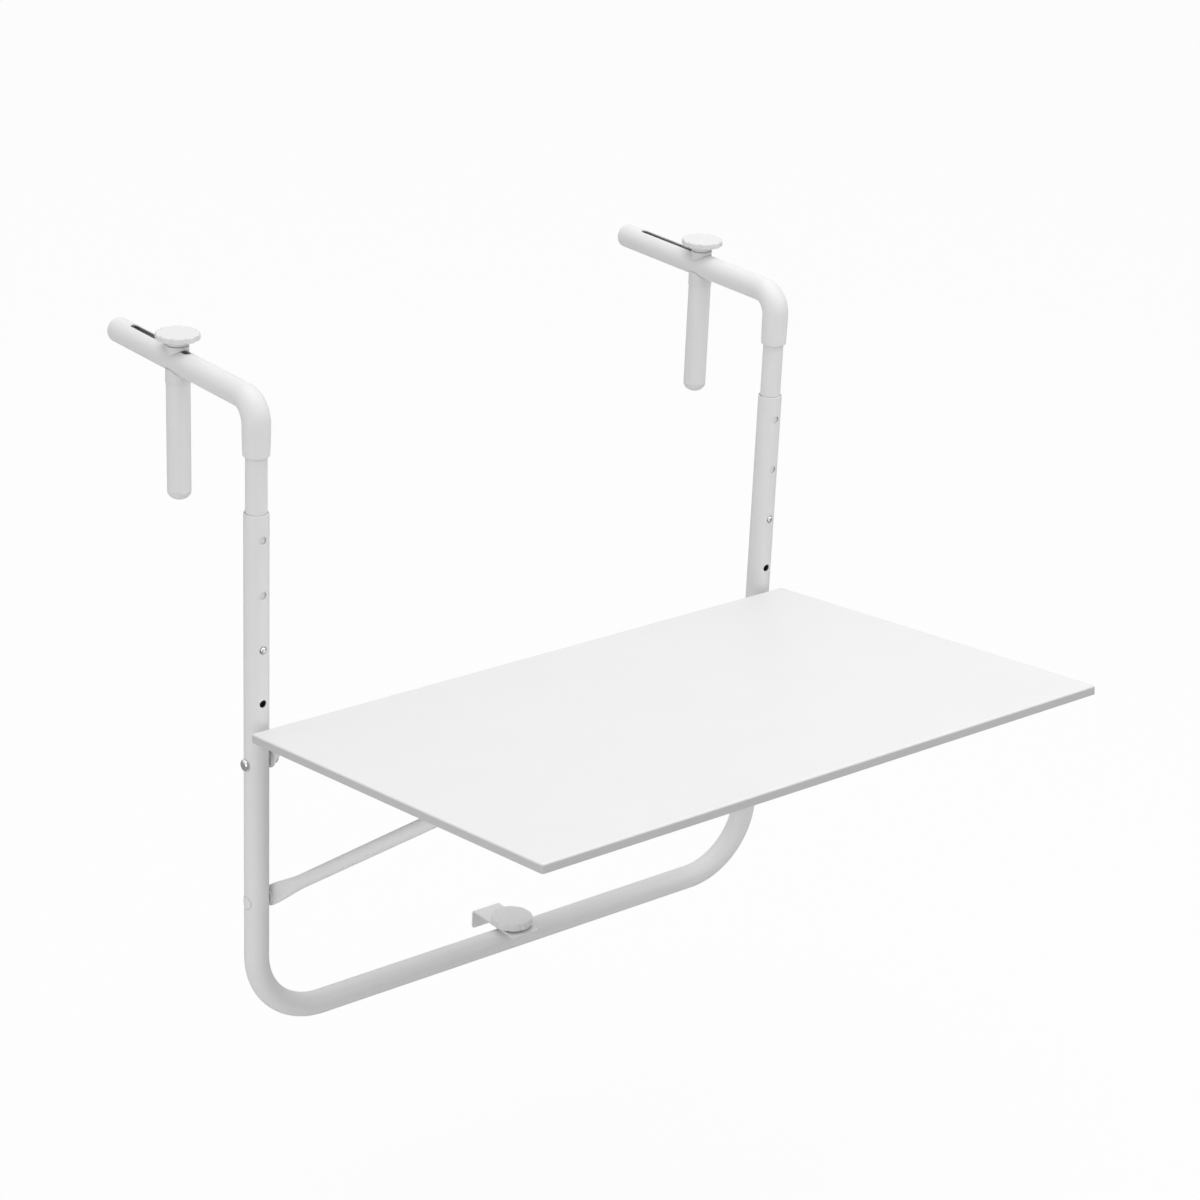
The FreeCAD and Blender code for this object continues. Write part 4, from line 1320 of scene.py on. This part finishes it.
@dataclass
class Stay(Assembly):
    """The folding stay: one bent tube with flattened ends, drawn level and then raised."""

    wall: float = 1.0
    leg_x: float = 266.0
    length: float = 332.5
    rise: float = 36.098
    bend_r: float = 30.0
    bend_steps: int = 24
    flat_x: float = 269.5
    flat_length: float = 6.0
    shoulder: float = 50.0
    shoulder_steps: int = 14
    sides: int = 64

    @property
    def flat_half(self) -> float:
        """Half the width of the flattened end, which keeps the tube's girth."""
        return self.lay.stay_flat / 2 + (math.pi * self.lay.stay_r - math.pi * self.lay.stay_flat / 2) / 2

    def build(self) -> None:
        """Draws the U, bridges each leg to its flattened end, and rounds the ends."""
        far = self.flat_length + self.shoulder
        straight = self.length - self.bend_r - far
        turn_x = self.leg_x - self.bend_r
        tube = Workpiece.circle(self.lay.stay_r, (-self.leg_x, -far, 0), TO_RAILING, self.sides)
        tube.extrude((0, -straight, 0)).spin(90, (-turn_x, -far - straight, 0), UP, self.bend_steps)
        tube.extrude((2 * turn_x, 0, 0)).spin(90, (turn_x, -far - straight, 0), UP, self.bend_steps)
        tube.extrude((0, straight, 0))
        for side in Side:
            self.flattened_end(tube, side)
        tube.outward().paint(*self.paint.tube).wall(self.wall)
        cutter = Workpiece.block((600, 30, 40), (0, 15, 0))
        tube.cut(cutter.cut(Workpiece.through(self.flat_half, (0, 0, 0), RIGHTWARDS, 320)))
        tube.cut(Workpiece.through(self.lay.pivot_r, (0, 0, 0), RIGHTWARDS, 300))
        tube.place(-self.rise, (0, 0, self.lay.stay_z))
        self.hand_over(tube, "stay_bow", "stay", Slot.STEEL, "stay_tube")

    def flattened_end(self, tube: Workpiece, side: Side) -> None:
        """Adds a flat-sided loop inside the post and bridges the leg's last ring to it.

        Args:
            tube: The stay, in edit mode.
            side: Which leg.
        """
        x, half = side.value * self.flat_x, self.lay.stay_flat / 2
        start, far = -self.flat_length, -self.flat_length - self.shoulder
        bpy.ops.mesh.select_all(action="DESELECT")
        add_ring(half, (x, start, 0), TO_RAILING, self.sides)
        for way in (1, -1):
            tube.pick(Element.POINTS, lambda v, up=way: near(v.co.y, start) and up * v.co.z > HAIR
                      and abs(v.co.x - x * MM) < 4 * MM)
            tube.move((0, 0, way * (self.flat_half - half)))
        tube.pick_edges(lambda a, b: near(a.y, start) and near(b.y, start)
                        and min(a.x * side.value, b.x * side.value) > 0)
        tube.extrude((0, self.flat_length + self.flat_half + 4, 0))

        def in_loops(point: Vector) -> bool:
            """Whether a point lies in one of the two loops to bridge."""
            beside = abs(point.x - side.value * self.leg_x * MM) < 12 * MM
            return beside and (near(point.y, start) or near(point.y, far))

        tube.pick(Element.EDGES, lambda edge: all(in_loops(v.co) for v in edge.verts)
                  and abs(edge.verts[0].co.y - edge.verts[1].co.y) < HAIR and len(edge.link_faces) < 2)
        bpy.ops.mesh.bridge_edge_loops(number_cuts=self.shoulder_steps, interpolation="SURFACE",
                                       smoothness=0.8)


@dataclass
class Fasteners(Assembly):
    """Bolts, nuts, washers and rivets of the two pairs of pivots."""

    bolt_head: tuple[float, float] = (5.4, 3.6)
    bolt_r: float = 3.0
    bolt_past: float = 1.0
    washer_r: float = 6.5
    washer_h: float = 1.0
    spacer_h: float = 1.9
    nut_flats: float = 10.0
    nut_h: float = 4.4
    nut_round: float = 0.45
    collar_r: float = 4.2
    collar_h: float = 1.6
    gap: float = 0.1
    rivet_head: tuple[float, float] = (5.7, 0.4)
    rivet_tail: tuple[float, float] = (4.6, 1.7)

    def build(self) -> None:
        """Models each pair as one piece of two."""
        pairs = {"hinge_bolt_pair": (self.bolt, Slot.BRIGHT, "hinge_bolts"),
                 "hinge_nut_pair": (self.nut, Slot.ZINC, "hinge_locknuts"),
                 "hinge_washer_pair": (self.hinge_washer, Slot.PLASTIC, "hinge_washers"),
                 "stay_rivet_pair": (self.rivet, Slot.STEEL, "stay_rivets"),
                 "stay_washer_pair": (self.stay_spacer, Slot.PLASTIC, "stay_washers")}
        for name, (make, slot, node) in pairs.items():
            self.hand_over(make(Side.LEFT).join(make(Side.RIGHT)), name, "frame", slot, node)

    def face(self, side: Side, step: float, z: float) -> Triple:
        """A point a step outwards from a post's axis, at a height."""
        return (side.value * (self.lay.post_x + step), 0.0, z)

    def bolt(self, side: Side) -> Workpiece:
        """Domed bolt, its heights counted outwards from the post's outer face.

        Args:
            side: Which post.

        Returns:
            The bolt.
        """
        lay, (r, height), bolt_r = self.lay, self.bolt_head, self.bolt_r
        stack = self.washer_h + lay.ear_thick + self.gap + self.nut_h + self.collar_h
        end = -2 * lay.post_r - stack - self.bolt_past
        rim = 0.3 * height
        dome = [polar(r, height - rim, 90 - angle) for angle in (12, 24, 36, 48, 58, 68, 78)]
        profile = [(0.0, height), *((radius, rim + rise) for radius, rise in dome), (r, rim), (r, 0.0, 0.3),
                   (bolt_r, 0.0), (bolt_r, end, 0.4), (0.0, end)]
        return Workpiece.lathe(self.face(side, lay.post_r, lay.hinge_z), side.outward, profile, sides=64)

    def nut(self, side: Side) -> Workpiece:
        """Hexagonal lock nut with its nylon collar.

        Args:
            side: Which post.

        Returns:
            The nut.
        """
        lay, bore, end = self.lay, self.bolt_r + self.lay.fit, self.nut_h + self.collar_h
        face = self.face(side, -lay.post_r - self.washer_h - lay.ear_thick - self.gap, lay.hinge_z)
        nut = Workpiece.circle(self.nut_flats / math.sqrt(3), face, side.inward, 6)
        nut.draw_out(Vector(side.inward) * self.nut_h)
        nut.pick_edges(lambda a, b: abs(a.x - b.x) < HAIR).bevel(self.nut_round, 2)
        nut.cut(Workpiece.bar(bore, tuple(Vector(face) + Vector(side.outward)), side.inward, 9))
        low = self.nut_h - 0.3
        collar = [(bore, low), (self.collar_r, low), (self.collar_r, end, 0.6), (bore, end)]
        return nut.join(Workpiece.lathe(face, side.inward, collar, closed=True, sides=48))

    def ring(self, side: Side, bore: float, height: float, z: float) -> Workpiece:
        """Washer against the inner face of a post.

        Args:
            side: Which post.
            bore: Radius of its hole, in millimetres.
            height: How thick it is.
            z: Where its axis lies.

        Returns:
            The washer.
        """
        lay, r = self.lay, self.washer_r
        profile = [(bore, 0.0), (r, 0.0, 0.2), (r, height, 0.2), (bore, height)]
        return Workpiece.lathe(self.face(side, -lay.post_r, z), side.inward, profile, closed=True, sides=64)

    def hinge_washer(self, side: Side) -> Workpiece:
        """Washer between post and ear."""
        return self.ring(side, self.bolt_r + self.lay.fit, self.washer_h, self.lay.hinge_z)

    def stay_spacer(self, side: Side) -> Workpiece:
        """Washer between post and the stay's flattened end."""
        return self.ring(side, self.lay.pivot_r, self.spacer_h, self.lay.stay_z)

    def rivet(self, side: Side) -> Workpiece:
        """Rivet with a thin round head that follows the post's curve, and its set tail inside.

        Args:
            side: Which post.

        Returns:
            The rivet.
        """
        lay, (tail_r, tail_h), (head_r, head_h) = self.lay, self.rivet_tail, self.rivet_head
        end = -2 * lay.post_r - self.spacer_h - lay.stay_flat - self.gap
        profile = [(0.0, -0.5), (self.bolt_r, -0.5), (self.bolt_r, end), (tail_r, end, 0.2),
                   (tail_r, end - 0.5 * tail_h, 0.4), (0.5 * tail_r, end - tail_h, 0.4), (0.0, end - tail_h)]
        rivet = Workpiece.lathe(self.face(side, lay.post_r, lay.stay_z), side.outward, profile, sides=64)
        head = Workpiece.bar(head_r, self.face(side, 8, lay.stay_z), side.outward, 8)
        axis = self.face(side, 0, lay.stay_z)
        around = Workpiece.block((60, 60, 40), axis).cut(Workpiece.through(lay.post_r + head_h, axis, UP))
        return rivet.cut(head.cut(around), "UNION")


@dataclass
class Stop(Assembly):
    """The adjustable stop on the bottom rail: slotted plate with a turned-down lip, and its knob."""

    width: float = 29.4
    front: float = -23.0
    back: float = 43.5
    thick: float = 2.0
    lip_h: float = 19.0
    slot_y: tuple[float, float] = (-10.0, 25.0)
    neck_h: float = 2.0
    notch_depth: float = 0.8

    @property
    def high(self) -> float:
        """Height of the plate's upper face."""
        return self.lay.rail_z + self.lay.post_r + self.thick

    def build(self) -> None:
        """Models the plate and the knob that holds it."""
        self.hand_over(self.plate(), "stop_strip", "stop", Slot.STEEL, "stop_plate")
        knob = LobedKnob(self.lay.knob_r, (0.0, 0.0, self.high), self.neck_h, notch_depth=self.notch_depth)
        self.hand_over(knob.build(), "stop_hand_knob", "stop_screw", Slot.PLASTIC, "stop_knob")

    def plate(self) -> Workpiece:
        """Folded strip with a long slot, its free corners rounded.

        Returns:
            The strip, in edit mode.
        """
        bend = 2 * self.thick
        slack = 1 - math.sqrt(0.5)
        outer, inner = bend * slack, self.thick + (bend - self.thick) * slack

        def at(y: float, drop: float) -> Vector:
            """A corner of the side view, from how far below the upper face it lies."""
            return Vector((-self.width / 2, y, self.high - drop))

        points = [at(self.front, self.thick), at(self.front, 0), at(self.back - bend, 0)]
        points += arc_points(points[-1], at(self.back - outer, outer), at(self.back, bend), 6)
        points += [at(self.back, self.lip_h), at(self.back - self.thick, self.lip_h),
                   at(self.back - self.thick, bend)]
        points += arc_points(points[-1], at(self.back - inner, inner), at(self.back - bend, self.thick), 6)
        plate = Workpiece.trace(points, closed=True).draw_out((self.width, 0, 0))
        foot = self.high - self.lip_h
        plate.pick_edges(lambda a, b: near(a.y, self.front) and near(b.y, self.front)
                         and abs(a.z - b.z) > 100 * HAIR).bevel(self.thick, 5)
        plate.pick_edges(lambda a, b: near(a.z, foot) and near(b.z, foot)
                         and abs(a.y - b.y) > 100 * HAIR).bevel(self.thick, 5)
        low = self.high - 2 * self.thick
        plate.cut(Workpiece.slot_bar(0, self.slot_y, self.lay.stud_bore, low, 3 * self.thick))
        return plate.edit().pick_folds().bevel(self.lay.soft_edge, 2)


@dataclass(frozen=True)
class Viewpoint:
    """The photograph's camera, from its fit to the table."""

    azimuth: float = -39.14
    elevation: float = 22.811
    roll: float = 2.532
    place: Triple = (-1.6379, -2.1226, 0.8999)
    lens: float = 96.68
    sensor: float = 36.0

    def build(self) -> None:
        """Adds the camera and makes it the scene's."""
        turns = ((self.azimuth, "Z"), (90 - self.elevation, "X"), (self.roll, "Z"))
        aim = Matrix.Translation(self.place)
        for degrees, axis in turns:
            aim = aim @ Matrix.Rotation(math.radians(degrees), 4, axis)
        Workpiece.clear_bench()
        bpy.ops.object.camera_add()
        camera = bpy.context.object
        camera.name = "photo_viewpoint"
        camera.matrix_world = aim
        camera.data.sensor_width = self.sensor
        camera.data.lens = self.lens
        camera.data.clip_start = 0.05
        camera.data.clip_end = 100.0
        bpy.context.scene.camera = camera


@dataclass(frozen=True)
class Lamp:
    """One soft box: where it hangs, what it looks at, its size in metres and its power in watts."""

    name: str
    place: Triple
    aim: Triple
    size: float
    watts: float

    def hang(self) -> None:
        """Hangs the lamp."""
        Workpiece.clear_bench()
        bpy.ops.object.light_add(type="AREA", location=self.place)
        light = bpy.context.object
        light.name = self.name
        light.data.shape = "SQUARE"
        light.data.size = self.size
        light.data.energy = self.watts
        aim = Vector(self.aim) - Vector(self.place)
        light.rotation_euler = aim.to_track_quat("-Z", "Y").to_euler()


@dataclass
class Studio:
    """Plain pale floor, pale surroundings and soft lamps."""

    floor_z: float = -0.78
    floor_radius: float = 30.0
    floor_tone: float = 0.76
    floor_glare: float = 0.95
    sky_low: float = 0.36
    sky_high: float = 0.82
    mirror_floor: float = 0.35
    mirror_low: float = 0.35
    mirror_high: float = 1.0
    horizon: tuple[float, float] = (-0.05, 0.35)
    lamps: tuple[Lamp, ...] = (
        Lamp("overhead_soft_box", (0.2, -0.2, 2.4), (0.0, -0.2, -0.3), 2.6, 30.0),
        Lamp("front_right_soft_box", (1.2, -1.2, 1.2), (0.2, -0.3, -0.3), 1.0, 7.0),
        Lamp("low_left_soft_box", (-2.0, -0.7, -0.3), (0.0, -0.1, -0.4), 1.2, 7.0))

    def build(self) -> None:
        """Sets up floor, surroundings, lamps and the colour view."""
        self.lay_floor()
        self.light_sky()
        for lamp in self.lamps:
            lamp.hang()
        bpy.context.scene.view_settings.view_transform = "Standard"

    def lay_floor(self) -> None:
        """A wide disc under the table that keeps its shadow, dimmer in mirrors than to the camera."""
        Workpiece.clear_bench()
        bpy.ops.mesh.primitive_circle_add(vertices=96, radius=self.floor_radius, fill_type="NGON",
                                          location=(0, 0, self.floor_z))
        floor = bpy.context.object
        floor.name = "studio_floor"
        material = bpy.data.materials.new("studio_floor")
        graph = Graph(material)
        tone = self.floor_tone
        matt = graph.node("BsdfDiffuse", {"Color": (tone, tone, tone, 1.0)})
        lit = graph.either(graph.ray("Glossy"), matt, graph.glow("Emission", self.mirror_floor))
        seen = graph.either(graph.ray("Camera") * self.floor_glare, lit, graph.glow("Emission", 1.0))
        graph.node("OutputMaterial", {"Surface": seen})
        floor.data.materials.append(material)

    def light_sky(self) -> None:
        """Surroundings: white to the camera, brighter overhead as light and in mirrors."""
        world = bpy.data.worlds.new("studio_surroundings")
        graph = Graph(world)
        low, high, mirror_low, mirror_high, white = (
            graph.glow("Background", level)
            for level in (self.sky_low, self.sky_high, self.mirror_low, self.mirror_high, 1.0))
        height = graph.node("SeparateXYZ", {"Vector": graph.node("TexCoord", {}, "Generated")}, "Z")
        mirrored = graph.either(graph.clamped(height, *self.horizon), mirror_low, mirror_high)
        lit = graph.either(graph.ray("Glossy"), graph.either(height, low, high), mirrored)
        graph.node("OutputWorld", {"Surface": graph.either(graph.ray("Camera"), lit, white)})
        bpy.context.scene.world = world


def main() -> None:
    """Builds the studio and every sub-assembly in order."""
    logging.basicConfig(level=logging.INFO, format="%(message)s")
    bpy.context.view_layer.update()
    lay = Layout()
    paint = Paintshop()
    paint.dress_nodes(frame["record"])
    Viewpoint().build()
    Studio().build()
    for kind in (BentFrame, Hook, Clamp, Top, Stay, Fasteners, Stop):
        LOG.info("%s", kind.__name__)
        kind(lay, paint).build()


if __name__ == "__main__":
    main()
